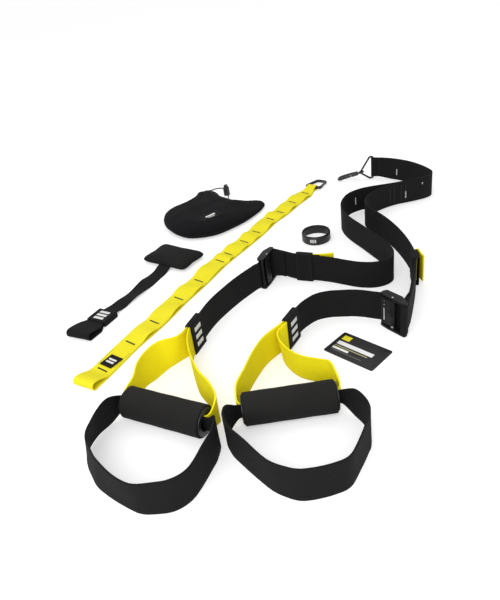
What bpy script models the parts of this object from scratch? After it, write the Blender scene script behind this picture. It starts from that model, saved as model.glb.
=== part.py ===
"""Suspension trainer set, laid out on a floor: two-handled strap, anchor strap, door anchor, bag, band and card.

Units are metres, +Z is up. Straps of the trainer stand on edge; the anchor strap and the door anchor lie flat.
Every place in the layout is a share of LAID_OUT_SPAN, and everything that fits, wraps or passes through another
piece takes its place from that piece's sizes. The finished set is centred over the origin, standing on z = 0.
"""
import math

import bmesh
import bpy
import numpy as np
from mathutils import Matrix, Vector

# Layout and shared clearances
LAID_OUT_SPAN = 1.0
GAP = 0.0003
CUT_OVERRUN = 0.004

# Trainer webbing
WEB_WIDTH = 0.050
WEB_THICK = 0.0022
WEB_STATION = 0.024
WEB_STATION_NEAR_EYE = 0.0035
WEB_TURN_DEG = 10.0
FLAT_TILT_DEG = 12.0
SEWN_TAIL = 0.026

# Label sleeves and keepers round the webbing
SLEEVE_LENGTH = 0.037
SLEEVE_WALL = 0.0013
KEEPER_LENGTH = 0.030
KEEPER_SLACK = 0.0012
TAB_LENGTH = 0.034
TAB_PEEL = 0.016
TAIL_PAST_BAR = 0.027

# Cam buckles
BUCKLE_LENGTH = 0.041
BUCKLE_RAIL = 0.0040
BUCKLE_BAR_R = 0.0030
BUCKLE_PLATE = 0.0025
BUCKLE_CORNER = 0.0027
CAM_R = 0.0054
CAM_PIN_R = 0.0016
CAM_LEVER_THICK = 0.0030
CAM_TOOTH = 0.0004
CAM_FACETS = 21
CAM_SPRING_WIRE = 0.0008
CAM_SPRING_TURNS = 3

# Hand grips
GRIP_LENGTH = 0.120
GRIP_R = 0.022
GRIP_BORE_R = 0.0163
TUBE_R = 0.0160
TUBE_WALL = 0.0022
CAP_FLANGE_R = 0.0190
CAP_FLANGE = 0.0016
CAP_SPIGOT = 0.009
CAP_WALL = 0.0012
TUCK_HEIGHT = 0.0215

# Ring, swivel and snap hook at the top end
RING_ROD_R = 0.0022
RING_REACH = 0.029
RING_CORNER = 0.0040
RING_SHOULDER_SHARE = 0.28
RING_APEX_SHARE = 0.36
RING_WEB_SHARE = 0.90
RING_DEG = 180.0
EYE_ROD_R = 0.0020
EYE_SLACK = 0.0012
SHANK_R = 0.0020
SHANK_HEAD_R = 0.0034
SHANK_HEAD = 0.0018
HOOK_LENGTH = 0.047
HOOK_WIDTH = 0.025
HOOK_ROD_R = 0.0030
HOOK_CORNER = 0.0085
BARREL_R = 0.0052
BARREL_LENGTH = 0.009
HOOK_DEG = 158.0
GATE_PIN_R = 0.0010
GATE_SPRING_TURNS = 5

# Anchor strap and its carabiner
ANCHOR_WIDTH = 0.039
ANCHOR_NECK = 0.022
ANCHOR_THICK = 0.0018
ANCHOR_RIPPLE = 0.0035
ANCHOR_EYE_R = 0.0060
PATCH_LENGTH = 0.026
PATCH_WIDTH = 0.026
PATCH_THICK = 0.0010
CARABINER_LENGTH = 0.050
CARABINER_BASE = 0.046
CARABINER_TIP = 0.030
CARABINER_ROD_R = 0.0034
CARABINER_CORNER = 0.0062

# Door anchor
PAD_LENGTH = 0.096
PAD_WIDTH = 0.058
PAD_HEIGHT = 0.020
PAD_CORNER = 0.009
DOOR_WIDTH = 0.029
DOOR_LOOP_WIDTH = 0.040
DOOR_THICK = 0.0020
DOOR_LOOP_R = 0.0060
DOOR_SLEEVE_LENGTH = 0.034
POCKET_DEPTH = 0.009

# Mesh bag, cord and cord lock
BAG_HEIGHT = 0.030
BAG_LABEL_LENGTH = 0.052
BAG_LABEL_WIDTH = 0.030
LABEL_THICK = 0.0008
CORD_R = 0.0013
LOCK_R = 0.0075
LOCK_HEIGHT = 0.020
LOCK_WALL = 0.0016
LOCK_BUTTON_R = 0.0052
LOCK_BUTTON_RISE = 0.006
LOCK_TRAVEL = 0.003
LOCK_WIRE_R = 0.0004
LOCK_SPRING_TURNS = 5

# Wristband and card
BAND_R = 0.0285
BAND_WALL = 0.0022
BAND_HEIGHT = 0.0185
CARD_LENGTH = 0.0856
CARD_WIDTH = 0.0540
CARD_THICK = 0.0010
CARD_CORNER = 0.0032

# Worked out from the sizes above
PLY_PITCH = WEB_THICK + GAP
HALF_PITCH = PLY_PITCH / 2
LOOP_R = BUCKLE_BAR_R + GAP + WEB_THICK / 2
STRAP_LINE = -(LOOP_R + PLY_PITCH)
SLEEVE_RISE = SLEEVE_WALL + GAP
BUCKLE_HALF_GAP = WEB_WIDTH / 2 + 2 * GAP
BUCKLE_HALF_WIDTH = BUCKLE_HALF_GAP + BUCKLE_RAIL
BUCKLE_RISE = BUCKLE_HALF_WIDTH - WEB_WIDTH / 2
FIXED_BAR_X = 0.46 * BUCKLE_LENGTH
END_BAR_X = -0.54 * BUCKLE_LENGTH
CAM_PIN_X = -0.08 * BUCKLE_LENGTH
CAM_PIN_Y = STRAP_LINE + WEB_THICK / 2 + GAP + CAM_R
END_BAR_Y = STRAP_LINE + WEB_THICK / 2 + GAP + BUCKLE_BAR_R
PLATE_Y = STRAP_LINE - WEB_THICK / 2 - GAP - BUCKLE_PLATE / 2
EYE_R = RING_ROD_R + EYE_SLACK + EYE_ROD_R
BARREL_X = EYE_R + EYE_ROD_R + 2 * GAP
RING_LOOP_R = RING_ROD_R + GAP + WEB_THICK / 2
RING_WEB_FOOT = RING_ROD_R + RING_CORNER * 0.85
RING_WEB_HEAD = RING_WEB_FOOT + RING_WEB_SHARE * WEB_WIDTH
RING_TOP = RING_WEB_HEAD + RING_CORNER * 0.85
RING_APEX = RING_APEX_SHARE * RING_TOP
ANCHOR_ROD_LOOP = CARABINER_ROD_R + GAP + ANCHOR_THICK / 2
LOCK_CORD_HEIGHT = 0.65 * LOCK_HEIGHT

WEBBING_BLACK = ("webbing_black", (0.012, 0.012, 0.012), 0.85, 0.0)
WEBBING_YELLOW = ("webbing_yellow", (0.86, 0.72, 0.005), 0.8, 0.0)
ANCHOR_YELLOW = ("anchor_yellow", (0.90, 0.78, 0.03), 0.8, 0.0)
FOAM = ("grip_foam", (0.022, 0.021, 0.02), 0.95, 0.0)
PLASTIC = ("black_plastic", (0.015, 0.015, 0.016), 0.45, 0.0)
BLACK_METAL = ("black_metal", (0.02, 0.02, 0.022), 0.35, 0.8)
STEEL = ("spring_steel", (0.55, 0.55, 0.56), 0.3, 1.0)
LABEL = ("label_black", (0.014, 0.014, 0.016), 0.7, 0.0)
BAG_MESH = ("bag_cloth", (0.013, 0.013, 0.016), 0.9, 0.0)
RUBBER = ("band_rubber", (0.016, 0.016, 0.017), 0.55, 0.0)
CARD_FACE = ("card_print", (0.018, 0.018, 0.02), 0.4, 0.0)


def clear_scene():
    """Removes whatever the file holds."""
    for item in list(bpy.data.objects):
        bpy.data.objects.remove(item, do_unlink=True)


def make_material(spec):
    """A Principled material from a name, a colour, a roughness and a metallic value."""
    name, colour, roughness, metallic = spec
    material = bpy.data.materials.get(name) or bpy.data.materials.new(name)
    material.use_nodes = True
    shader = material.node_tree.nodes["Principled BSDF"]
    shader.inputs["Base Color"].default_value = (*colour, 1.0)
    shader.inputs["Roughness"].default_value = roughness
    shader.inputs["Metallic"].default_value = metallic
    return material


def add_empty(name, parent=None, place=None):
    """An empty that carries a group of pieces; place is its matrix under its parent."""
    empty = bpy.data.objects.new(name, None)
    bpy.context.collection.objects.link(empty)
    empty.parent = parent
    if place is not None:
        empty.matrix_local = place
    return empty


def finish_mesh(bm, name, spec, parent=None, place=None, sharp_deg=35.0):
    """Turns a bmesh into a named, shaded object under its parent."""
    bmesh.ops.recalc_face_normals(bm, faces=bm.faces)
    mesh = bpy.data.meshes.new(name)
    bm.to_mesh(mesh)
    bm.free()
    mesh.materials.append(make_material(spec))
    mesh.shade_smooth()
    mesh.set_sharp_from_angle(angle=math.radians(sharp_deg))
    piece = bpy.data.objects.new(name, mesh)
    bpy.context.collection.objects.link(piece)
    piece.parent = parent
    if place is not None:
        piece.matrix_local = place
    return piece


def loft(rings, closed=False, caps=True):
    """A bmesh skinned over rings of equal point counts; closed joins the last ring to the first."""
    bm = bmesh.new()
    loops = [[bm.verts.new(point) for point in ring] for ring in rings]
    count = len(loops[0])
    pairs = list(zip(loops, loops[1:]))
    if closed:
        pairs.append((loops[-1], loops[0]))
    for low, high in pairs:
        for i in range(count):
            j = (i + 1) % count
            bm.faces.new((low[i], low[j], high[j], high[i]))
    if caps and not closed:
        bm.faces.new(loops[0])
        bm.faces.new(loops[-1])
    return bm


def extrude_outline(outline, low, high):
    """A bmesh prism of a plan outline between two heights."""
    return loft([[(x, y, low) for x, y in outline], [(x, y, high) for x, y in outline]])


def combine(target, others, operation):
    """Joins or cuts the target with other objects by exact Booleans, then removes them."""
    for other in others:
        step = target.modifiers.new(operation.lower(), "BOOLEAN")
        step.operation = operation
        step.solver = "EXACT"
        step.object = other
    bpy.context.view_layer.update()
    view = bpy.context.evaluated_depsgraph_get()
    mesh = bpy.data.meshes.new_from_object(target.evaluated_get(view))
    target.modifiers.clear()
    bm = bmesh.new()
    bm.from_mesh(mesh)
    bmesh.ops.remove_doubles(bm, verts=bm.verts, dist=GAP / 100)
    bmesh.ops.dissolve_degenerate(bm, edges=bm.edges, dist=GAP / 100)
    bm.to_mesh(mesh)
    bm.free()
    target.data = mesh
    for other in others:
        bpy.data.objects.remove(other, do_unlink=True)
    mesh.shade_smooth()
    mesh.set_sharp_from_angle(angle=math.radians(35))
    return target


def rounded_outline(corners, radii, steps=4):
    """A plan outline through the corners, each rounded to its radius (or to as much as its sides allow)."""
    corners = [np.array(corner, float) for corner in corners]
    radii = np.broadcast_to(radii, len(corners))
    outline = []
    for i, corner in enumerate(corners):
        before = corners[i - 1] - corner
        after = corners[(i + 1) % len(corners)] - corner
        length_before, length_after = np.linalg.norm(before), np.linalg.norm(after)
        before, after = before / length_before, after / length_after
        half = math.acos(max(-1.0, min(1.0, float(before @ after)))) / 2
        cut = min(radii[i] / math.tan(half), 0.49 * length_before, 0.49 * length_after)
        bow = cut * math.tan(half)
        middle = corner + (before + after) / np.linalg.norm(before + after) * bow / math.sin(half)
        start, end = corner + before * cut - middle, corner + after * cut - middle
        sweep = math.atan2(start[0] * end[1] - start[1] * end[0], float(start @ end))
        for k in range(steps + 1):
            turn = sweep * k / steps
            c, s = math.cos(turn), math.sin(turn)
            outline.append(middle + np.array((c * start[0] - s * start[1], s * start[0] + c * start[1])))
    return [tuple(point) for point in outline]


def box_outline(x0, y0, x1, y1, radius=0.0, steps=3):
    """A rectangle's outline, with rounded corners where a radius is given."""
    corners = [(x0, y0), (x1, y0), (x1, y1), (x0, y1)]
    return rounded_outline(corners, radius, steps) if radius else corners


def turned(profile, segments, axis="X"):
    """A closed profile of (along, radius) points turned about an axis; a zero radius becomes a pole."""
    bm = bmesh.new()
    rings = []
    for i in range(segments):
        turn = 2 * math.pi * i / segments
        c, s = math.cos(turn), math.sin(turn)
        ring = []
        for along, radius in profile:
            spots = {"X": (along, radius * c, radius * s), "Z": (radius * c, radius * s, along)}
            ring.append(bm.verts.new(spots[axis]))
        rings.append(ring)
    count = len(profile)
    for i in range(segments):
        this, following = rings[i], rings[(i + 1) % segments]
        for k in range(count):
            m = (k + 1) % count
            if profile[k][1] == 0 and profile[m][1] == 0:
                continue
            bm.faces.new((this[k], this[m], following[m], following[k]))
    bmesh.ops.remove_doubles(bm, verts=bm.verts, dist=GAP / 100)
    return bm


def rod(name, length, radius, spec, segments=12, parent=None, place=None, bevel_share=0.25):
    """A round pin along X, centred, with its edges broken."""
    edge = radius * bevel_share
    profile = [(-length / 2, 0), (-length / 2, radius - edge), (-length / 2 + edge, radius),
               (length / 2 - edge, radius), (length / 2, radius - edge), (length / 2, 0)]
    return finish_mesh(turned(profile, segments), name, spec, parent, place)


def wire(name, points, radius, spec, closed=False, resolution=2, parent=None, place=None):
    """A round rod or cord along points, as a curve with a bevel and filled caps, turned into a mesh."""
    curve = bpy.data.curves.new(name, "CURVE")
    curve.dimensions = "3D"
    curve.bevel_depth = radius
    curve.bevel_resolution = resolution
    curve.use_fill_caps = True
    spline = curve.splines.new("POLY")
    spline.points.add(len(points) - 1)
    for spot, point in zip(spline.points, points):
        spot.co = (*point, 1.0)
    spline.use_cyclic_u = closed
    shape = bpy.data.objects.new(name + "_path", curve)
    bpy.context.collection.objects.link(shape)
    bpy.context.view_layer.update()
    view = bpy.context.evaluated_depsgraph_get()
    mesh = bpy.data.meshes.new_from_object(shape.evaluated_get(view))
    bpy.data.objects.remove(shape, do_unlink=True)
    bm = bmesh.new()
    bm.from_mesh(mesh)
    bpy.data.meshes.remove(mesh)
    bmesh.ops.remove_doubles(bm, verts=bm.verts, dist=GAP / 100)
    return finish_mesh(bm, name, spec, parent, place, sharp_deg=50)


def smooth_rows(rows, per_span=14, lead=0):
    """A smooth curve through rows (first two numbers are the plan place); the first lead spans only set its start."""
    rows = np.array(rows, float)
    chord = np.linalg.norm(np.diff(rows[:, :2], axis=0), axis=1)
    knots = np.concatenate(([0.0], np.cumsum(np.sqrt(chord))))
    slopes = np.gradient(rows, knots, axis=0)
    out = []
    for i in range(lead, len(rows) - 1):
        width = knots[i + 1] - knots[i]
        u = np.linspace(0, 1, per_span, endpoint=False)[:, None]
        out.append((2 * u ** 3 - 3 * u ** 2 + 1) * rows[i] + (u ** 3 - 2 * u ** 2 + u) * width * slopes[i]
                   + (3 * u ** 2 - 2 * u ** 3) * rows[i + 1] + (u ** 3 - u ** 2) * width * slopes[i + 1])
    out.append(rows[-1:])
    return np.concatenate(out)


def with_normals(rows):
    """Adds each row's left-hand plan normal: rows become (x, y, foot, head, lean, normal x, normal y)."""
    tangent = np.gradient(rows[:, :2], axis=0)
    tangent /= np.linalg.norm(tangent, axis=1)[:, None]
    return np.column_stack((rows[:, :5], -tangent[:, 1], tangent[:, 0]))


def distances(rows):
    """Distance of each row from the first along the plan line."""
    step = np.linalg.norm(np.diff(rows[:, :2], axis=0), axis=1)
    return np.concatenate(([0.0], np.cumsum(step)))


def ramp(value, low, high):
    """A smooth step from 0 at low to 1 at high."""
    t = np.clip((value - low) / (high - low), 0, 1)
    return t * t * (3 - 2 * t)


def stations(rows, fine_start=0.0, fine_end=0.0, marks=()):
    """The indices that a strap keeps: one per turn step or station length, closer together near its eyes.

    One is also kept at each mark, a distance from the end.
    """
    run = distances(rows)
    facing = np.unwrap(np.arctan2(rows[:, 6], rows[:, 5]))
    marked = {int(np.argmin(np.abs(run[-1] - run - mark))) for mark in marks}
    kept = [0]
    for i in range(1, len(rows) - 1):
        near_eye = run[i] < fine_start or run[-1] - run[i] < fine_end
        limit = WEB_STATION_NEAR_EYE if near_eye else WEB_STATION
        if abs(facing[i] - facing[kept[-1]]) > math.radians(WEB_TURN_DEG) or run[i] - run[kept[-1]] > limit:
            kept.append(i)
        elif i in marked:
            kept.append(i)
    if len(kept) > 1 and run[-1] - run[kept[-1]] < WEB_THICK / 2:
        kept.pop()
    return kept + [len(rows) - 1]


def standing_strap(name, rows, spec, parent, thick=WEB_THICK):
    """Webbing on edge along station rows of (x, y, foot, head, lean of the head, normal x, normal y)."""
    rings = []
    for x, y, foot, head, lean, nx, ny in rows:
        hx, hy = nx * thick / 2, ny * thick / 2
        lx, ly = x + nx * lean, y + ny * lean
        rings.append([(x - hx, y - hy, foot), (x + hx, y + hy, foot), (lx + hx, ly + hy, head),
                      (lx - hx, ly - hy, head)])
    return finish_mesh(loft(rings), name, spec, parent)


def at(x_share, y_share, foot_share=0.0, head_share=1.0, lean_share=0.0):
    """A row of a standing strap: its place in the layout, and its edges in shares of the webbing's width."""
    return (x_share * LAID_OUT_SPAN, y_share * LAID_OUT_SPAN, SLEEVE_RISE + foot_share * WEB_WIDTH,
            SLEEVE_RISE + head_share * WEB_WIDTH, lean_share * WEB_WIDTH)


def at_spot(spot):
    """A full-width row at a plan place."""
    return (spot[0], spot[1], SLEEVE_RISE, SLEEVE_RISE + WEB_WIDTH, 0.0)


def shifted(rows, offset):
    """Rows moved sideways in plan, to their left where the offset is positive (a number or one per row)."""
    rows = rows.copy()
    rows[:, :2] += rows[:, 5:7] * np.reshape(offset, (-1, 1))
    return rows


def backwards(rows):
    """Rows run through the other way, with lean and normals turned to suit."""
    rows = rows[::-1].copy()
    rows[:, 4:7] *= -1
    return rows


def turn_rows(centre, radius, start, sweep, row, steps=9):
    """Rows on an arc in plan about a centre; the heights come from the given row."""
    angles = start + sweep * np.linspace(0, 1, steps)
    out = np.tile(np.array(row, float), (steps, 1))
    radial = np.stack((np.cos(angles), np.sin(angles)), axis=1)
    out[:, :2] = np.array(centre) + radius * radial
    out[:, 5:7] = -radial * math.copysign(1, sweep)
    return out


# Places in the layout, as shares of LAID_OUT_SPAN, and headings in degrees
RING_BAR_SHARES = (0.337, 1.319)
SLING_ROUTE_SHARES = [(0.352, 1.313), (0.367, 1.302), (0.387, 1.283), (0.406, 1.259), (0.420, 1.230),
                      (0.428, 1.203), (0.430, 1.184), (0.423, 1.168), (0.407, 1.159), (0.384, 1.154),
                      (0.362, 1.151), (0.345, 1.149)]
SIDES = {
    "left": {
        "strand_shares": [(0.320, 1.148), (0.296, 1.148), (0.268, 1.145), (0.240, 1.131), (0.221, 1.106),
                          (0.210, 1.076), (0.209, 1.046), (0.216, 1.010), (0.229, 0.970), (0.243, 0.925),
                          (0.253, 0.887), (0.254, 0.860), (0.247, 0.841), (0.232, 0.831), (0.212, 0.829),
                          (0.190, 0.836), (0.170, 0.849), (0.147, 0.866), (0.123, 0.880), (0.103, 0.889),
                          (0.086, 0.898), (0.068, 0.910)],
        "ply": -1.0,
        "buckle_shares": (0.042, 0.903),
        "buckle_deg": 63.0,
        "keeper_from_bar": 0.061,
        "tail_turn_shares": [(0.300, None), (0.120, None)],
        "lower_shares": [(0.015, 0.878), (-0.005, 0.860), (-0.024, 0.840), (-0.041, 0.819), (-0.057, 0.797),
                         (-0.070, 0.775)],
        "sleeve_shares": (-0.0895, 0.735),
        "sleeve_deg": -116.6,
        "grip_shares": (-0.1305, 0.575),
        "grip_deg": -30.1,
        "near_branch": [(-0.117, 0.705, 0.0, 1.0, 0.1), (-0.135, 0.690, 0.0, 0.93, -0.30),
                        (-0.152, 0.669, 0.02, 0.93, -0.40), (-0.167, 0.649, 0.08, 0.95, -0.25)],
        "far_branch": [(-0.0985, 0.690, 0.0, 1.0, 0.0), (-0.094, 0.655, 0.02, 0.98, 0.0),
                       (-0.086, 0.618, 0.06, 0.95, 0.05), (-0.072, 0.586, 0.12, 0.90, 0.10)],
        "cradle_shares": [(-0.206, 0.590, 0.0, 1.0, 0.0), (-0.219, 0.569, 0.0, 1.0, 0.16),
                          (-0.229, 0.543, 0.0, 0.97, 0.26), (-0.226, 0.512, 0.0, 0.98, 0.20),
                          (-0.213, 0.485, 0.0, 1.0, 0.12), (-0.193, 0.460, 0.0, 1.0, 0.05),
                          (-0.170, 0.442, 0.0, 1.0, 0.0), (-0.149, 0.432, 0.0, 1.0, 0.0),
                          (-0.126, 0.430, 0.0, 1.0, 0.0), (-0.104, 0.440, 0.0, 1.0, 0.0),
                          (-0.086, 0.459, 0.0, 1.0, 0.0), (-0.074, 0.483, 0.0, 1.0, 0.0),
                          (-0.0655, 0.505, 0.0, 1.0, 0.0), (-0.0635, 0.523, 0.0, 0.98, 0.0)],
    },
    "right": {
        "strand_shares": [(0.322, 1.142), (0.298, 1.130), (0.274, 1.111), (0.260, 1.088), (0.255, 1.062),
                          (0.261, 1.036), (0.272, 1.002), (0.281, 0.960), (0.286, 0.905), (0.285, 0.860),
                          (0.278, 0.822), (0.266, 0.788), (0.254, 0.758), (0.242, 0.730), (0.231, 0.706)],
        "ply": 1.0,
        "buckle_shares": (0.209, 0.704),
        "buckle_deg": -56.5,
        "keeper_from_bar": 0.160,
        "tail_turn_shares": [(0.165, -0.400), (0.205, -0.285), (0.160, -0.205), (0.065, None)],
        "lower_shares": [(0.185, 0.743), (0.163, 0.754), (0.142, 0.759), (0.122, 0.762),
                         (0.102, 0.759), (0.086, 0.749), (0.074, 0.738)],
        "sleeve_shares": (0.0555, 0.712),
        "sleeve_deg": -123.7,
        "grip_shares": (0.031, 0.557),
        "grip_deg": 0.0,
        "near_branch": [(0.028, 0.684, 0.0, 1.0, 0.0), (0.010, 0.666, 0.0, 1.0, 0.0),
                        (-0.007, 0.637, 0.02, 1.0, 0.0), (-0.021, 0.606, 0.06, 0.96, 0.0)],
        "far_branch": [(0.037, 0.676, 0.0, 0.95, -0.10), (0.041, 0.652, 0.0, 0.90, -0.10),
                       (0.056, 0.625, 0.02, 0.88, -0.05), (0.078, 0.608, 0.06, 0.88, 0.0),
                       (0.096, 0.599, 0.10, 0.90, 0.0)],
        "cradle_shares": [(-0.049, 0.543, 0.0, 0.98, 0.0), (-0.0535, 0.524, 0.0, 1.0, 0.0),
                          (-0.048, 0.503, 0.0, 1.0, 0.0), (-0.034, 0.477, 0.0, 1.0, 0.0),
                          (-0.014, 0.451, 0.0, 1.0, 0.0), (0.005, 0.433, 0.0, 1.0, 0.0),
                          (0.025, 0.421, 0.0, 1.0, 0.0), (0.043, 0.416, 0.0, 1.0, 0.0),
                          (0.062, 0.418, 0.0, 1.0, 0.0), (0.081, 0.429, 0.0, 1.0, 0.0),
                          (0.098, 0.451, 0.0, 1.0, 0.0), (0.112, 0.473, 0.0, 1.0, 0.0),
                          (0.120, 0.496, 0.0, 1.0, 0.0), (0.119, 0.518, 0.0, 1.0, 0.0),
                          (0.111, 0.538, 0.0, 0.98, 0.0)],
    },
}
ANCHOR_ROUTE_SHARES = [(-0.2570, 0.679), (-0.238, 0.708), (-0.201, 0.769), (-0.164, 0.821), (-0.127, 0.882),
                       (-0.089, 0.938), (-0.050, 1.000), (0.004, 1.070), (0.036, 1.113), (0.066, 1.159),
                       (0.097, 1.194), (0.129, 1.237), (0.160, 1.273), (0.188, 1.306)]
ANCHOR_TACK_SHARES = [0.036, 0.107, 0.169, 0.245, 0.309, 0.387, 0.417, 0.473, 0.520, 0.585, 0.623, 0.679, 0.735]
PATCH_SHARE = 0.065
DOOR_PAD_SHARES = (-0.139, 1.043)
DOOR_PAD_DEG = -38.5
DOOR_ROUTE_SHARES = [(-0.1485, 1.0245), (-0.157, 1.011), (-0.173, 0.985), (-0.193, 0.951), (-0.212, 0.922), (-0.234, 0.893),
                     (-0.262, 0.850), (-0.288, 0.812)]
DOOR_SLEEVE_SHARE = 0.200
BAG_OUTLINE_SHARES = [(-0.056, 1.340), (-0.085, 1.347), (-0.096, 1.317), (-0.119, 1.291), (-0.150, 1.270),
                      (-0.165, 1.245), (-0.165, 1.215), (-0.155, 1.178), (-0.134, 1.144), (-0.112, 1.124),
                      (-0.082, 1.117), (-0.048, 1.121), (-0.012, 1.143), (0.014, 1.165), (0.036, 1.190),
                      (0.057, 1.222), (0.065, 1.246), (0.060, 1.262), (0.046, 1.264), (0.028, 1.258),
                      (0.006, 1.260), (-0.018, 1.280), (-0.036, 1.306)]
CORD_PIECES = ("bag_drawstring", "cord_lock")
BAG_MIDDLE_SHARES = (-0.056, 1.226)
BAG_LABEL_SHARES = (-0.057, 1.178)
BAG_LABEL_DEG = 50.0
CORD_ROUTE_SHARES = [(-0.074, 1.3440), (-0.071, 1.364), (-0.058, 1.388), (-0.041, 1.399), (-0.025, 1.394),
                     (-0.018, 1.380), (-0.018, 1.362), (-0.018, 1.350), (-0.018, 1.338), (-0.015, 1.324)]
LOCK_SHARES = (-0.018, 1.350)
BAND_SHARES = (0.150, 1.043)
CARD_SHARES = (0.145, 0.6685)
CARD_DEG = -48.4


def share_place(shares):
    """The plan place of a pair of shares."""
    return np.array(shares, float) * LAID_OUT_SPAN


def flat_place(shares, degrees, height=0.0):
    """A matrix that stands a piece at a place of the layout, turned about Z."""
    x, y = share_place(shares)
    return Matrix.Translation((x, y, height)) @ Matrix.Rotation(math.radians(degrees), 4, "Z")


def heading(degrees):
    """The unit plan vector of a heading."""
    return np.array((math.cos(math.radians(degrees)), math.sin(math.radians(degrees))))


# Buckles: local X runs from the lower strap's end to the fixed bar, Y faces away from the straps
def buckle_axes(side):
    """The plan directions of a buckle's X and Y; its Z points down, since the frame is alike both ways up."""
    x_axis = heading(side["buckle_deg"])
    return x_axis, np.array((x_axis[1], -x_axis[0]))


def buckle_plan(side, x, y):
    """The plan place of a point in a buckle's own X and Y."""
    x_axis, y_axis = buckle_axes(side)
    return share_place(side["buckle_shares"]) + x * x_axis + y * y_axis


def buckle_place(side):
    """The matrix of a buckle: its middle, at half its height, with Z down."""
    x_axis, y_axis = buckle_axes(side)
    middle = share_place(side["buckle_shares"])
    columns = ((*x_axis, 0, 0), (*y_axis, 0, 0), (0, 0, -1, 0), (*middle, BUCKLE_HALF_WIDTH, 1))
    return Matrix(columns).transposed()


def lift_at_buckle(rows, side):
    """Raises a strap to the middle of the buckle's frame near the buckle."""
    rows = rows.copy()
    away = np.linalg.norm(rows[:, :2] - share_place(side["buckle_shares"]), axis=1)
    rise = (BUCKLE_RISE - SLEEVE_RISE) * (1 - ramp(away, 0.5 * BUCKLE_LENGTH, 1.15 * BUCKLE_LENGTH))
    rows[:, 2:4] += rise[:, None]
    return rows


def strand_line(side):
    """The centre line of a main strap from the fork to its buckle's fixed bar, with no ply offset."""
    rows = [at(*SLING_ROUTE_SHARES[-2]), at(*SLING_ROUTE_SHARES[-1])]
    rows += [at(*spot) for spot in side["strand_shares"]]
    rows.append(at_spot(buckle_plan(side, FIXED_BAR_X, 0)))
    return with_normals(smooth_rows(rows, lead=1))


def strand_stations(side):
    """The station rows of a main strap's centre line, and their distances from the fixed bar."""
    line = strand_line(side)
    run = distances(line)
    held, half = side["keeper_from_bar"], KEEPER_LENGTH / 2
    marks = [held - half, held + half, held + TAIL_PAST_BAR] + [held + half + TAB_LENGTH * k / 4 for k in (1, 2, 3, 4)]
    kept = stations(line, WEB_WIDTH / 2, 5 * LOOP_R, marks + [SEWN_TAIL])
    return line[kept], run[-1] - run[kept]


def end_travel(rows):
    """The direction of travel at the end of a line, as an angle, from its normal."""
    return math.atan2(rows[-1, 6], rows[-1, 5]) - math.pi / 2


def eye_offsets(from_eye, inner, outer, reach):
    """How far a ply stands from the centre line near an eye: outer at the eye, inner past its reach."""
    return inner + (outer - inner) * (1 - ramp(from_eye, 0, reach))


def main_strap(name, side, parent):
    """One main strap, from the fork to its sewn loop round the buckle's fixed bar."""
    base, from_bar = strand_stations(side)
    ply = side["ply"]
    offset = eye_offsets(from_bar, HALF_PITCH, LOOP_R, 4 * LOOP_R)
    out = shifted(base, ply * offset)
    step = out[1, :2] - out[0, :2]
    out[0, :2] += step / np.linalg.norm(step) * GAP
    arc = turn_rows(base[-1, :2], LOOP_R, end_travel(base) + ply * math.pi / 2, -ply * math.pi, base[-1])
    back = backwards(shifted(base, -ply * offset)[from_bar < SEWN_TAIL])
    rows = np.concatenate((out[:-1], arc, back[1:]))
    return standing_strap(name, lift_at_buckle(rows, side), WEBBING_BLACK, parent)


def tail_offset(side, from_bar):
    """Where the lower strap's free tail runs beside the main strap, as an offset of the centre line."""
    beside = -HALF_PITCH - PLY_PITCH
    if side["ply"] > 0:
        beside = beside + PLY_PITCH * ramp(from_bar, SEWN_TAIL + GAP, 1.6 * SEWN_TAIL)
    return beside - (LOOP_R - HALF_PITCH) * (1 - ramp(from_bar, 0, 4 * LOOP_R))


def lower_strap(name, side, parent):
    """The lower strap: free tail, cam gap, and the run down to the label sleeve."""
    base, from_bar = strand_stations(side)
    tail_start = side["keeper_from_bar"] + TAIL_PAST_BAR + WEB_THICK
    wraps_bar = side["ply"] < 0
    tail_end = 0.0 if wraps_bar else 0.62 * BUCKLE_LENGTH
    chosen = (from_bar < tail_start) & (from_bar >= tail_end)
    rows = shifted(base, tail_offset(side, from_bar))[chosen]
    if wraps_bar:
        start = end_travel(base) - math.pi / 2
        back_x, back_y = -buckle_axes(side)[1]
        sweep = (math.atan2(back_y, back_x) - start) % (2 * math.pi)
        arc = turn_rows(base[-1, :2], LOOP_R + PLY_PITCH, start, sweep, base[-1], steps=7)
        rows = np.concatenate((rows[:-1], arc))
    down = [tuple(row[:5]) for row in rows[-2:]]
    for x_share, y_share in side["tail_turn_shares"]:
        y = STRAP_LINE if y_share is None else y_share * BUCKLE_LENGTH
        down.append(at_spot(buckle_plan(side, x_share * BUCKLE_LENGTH, y)))
    for x in (CAM_PIN_X, (CAM_PIN_X + END_BAR_X) / 2, END_BAR_X, END_BAR_X - 2 * BUCKLE_BAR_R):
        down.append(at_spot(buckle_plan(side, x, STRAP_LINE)))
    down += [at(*spot) for spot in side["lower_shares"]]
    middle, along = share_place(side["sleeve_shares"]), heading(side["sleeve_deg"])
    down += [at_spot(middle + along * share * SLEEVE_LENGTH) for share in (-0.5, -0.1, 0.3)]
    down = with_normals(smooth_rows(down, 10, lead=1))
    rows = np.concatenate((rows[:-1], down[stations(down)]))
    return standing_strap(name, lift_at_buckle(rows, side), WEBBING_BLACK, parent)


def tab_offset(side, from_bar):
    """Where the pull tab lies: outside the tail on one side, outside the main strap on the other."""
    if side["ply"] < 0:
        return tail_offset(side, from_bar) - PLY_PITCH
    return HALF_PITCH + PLY_PITCH + 0 * from_bar


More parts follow.
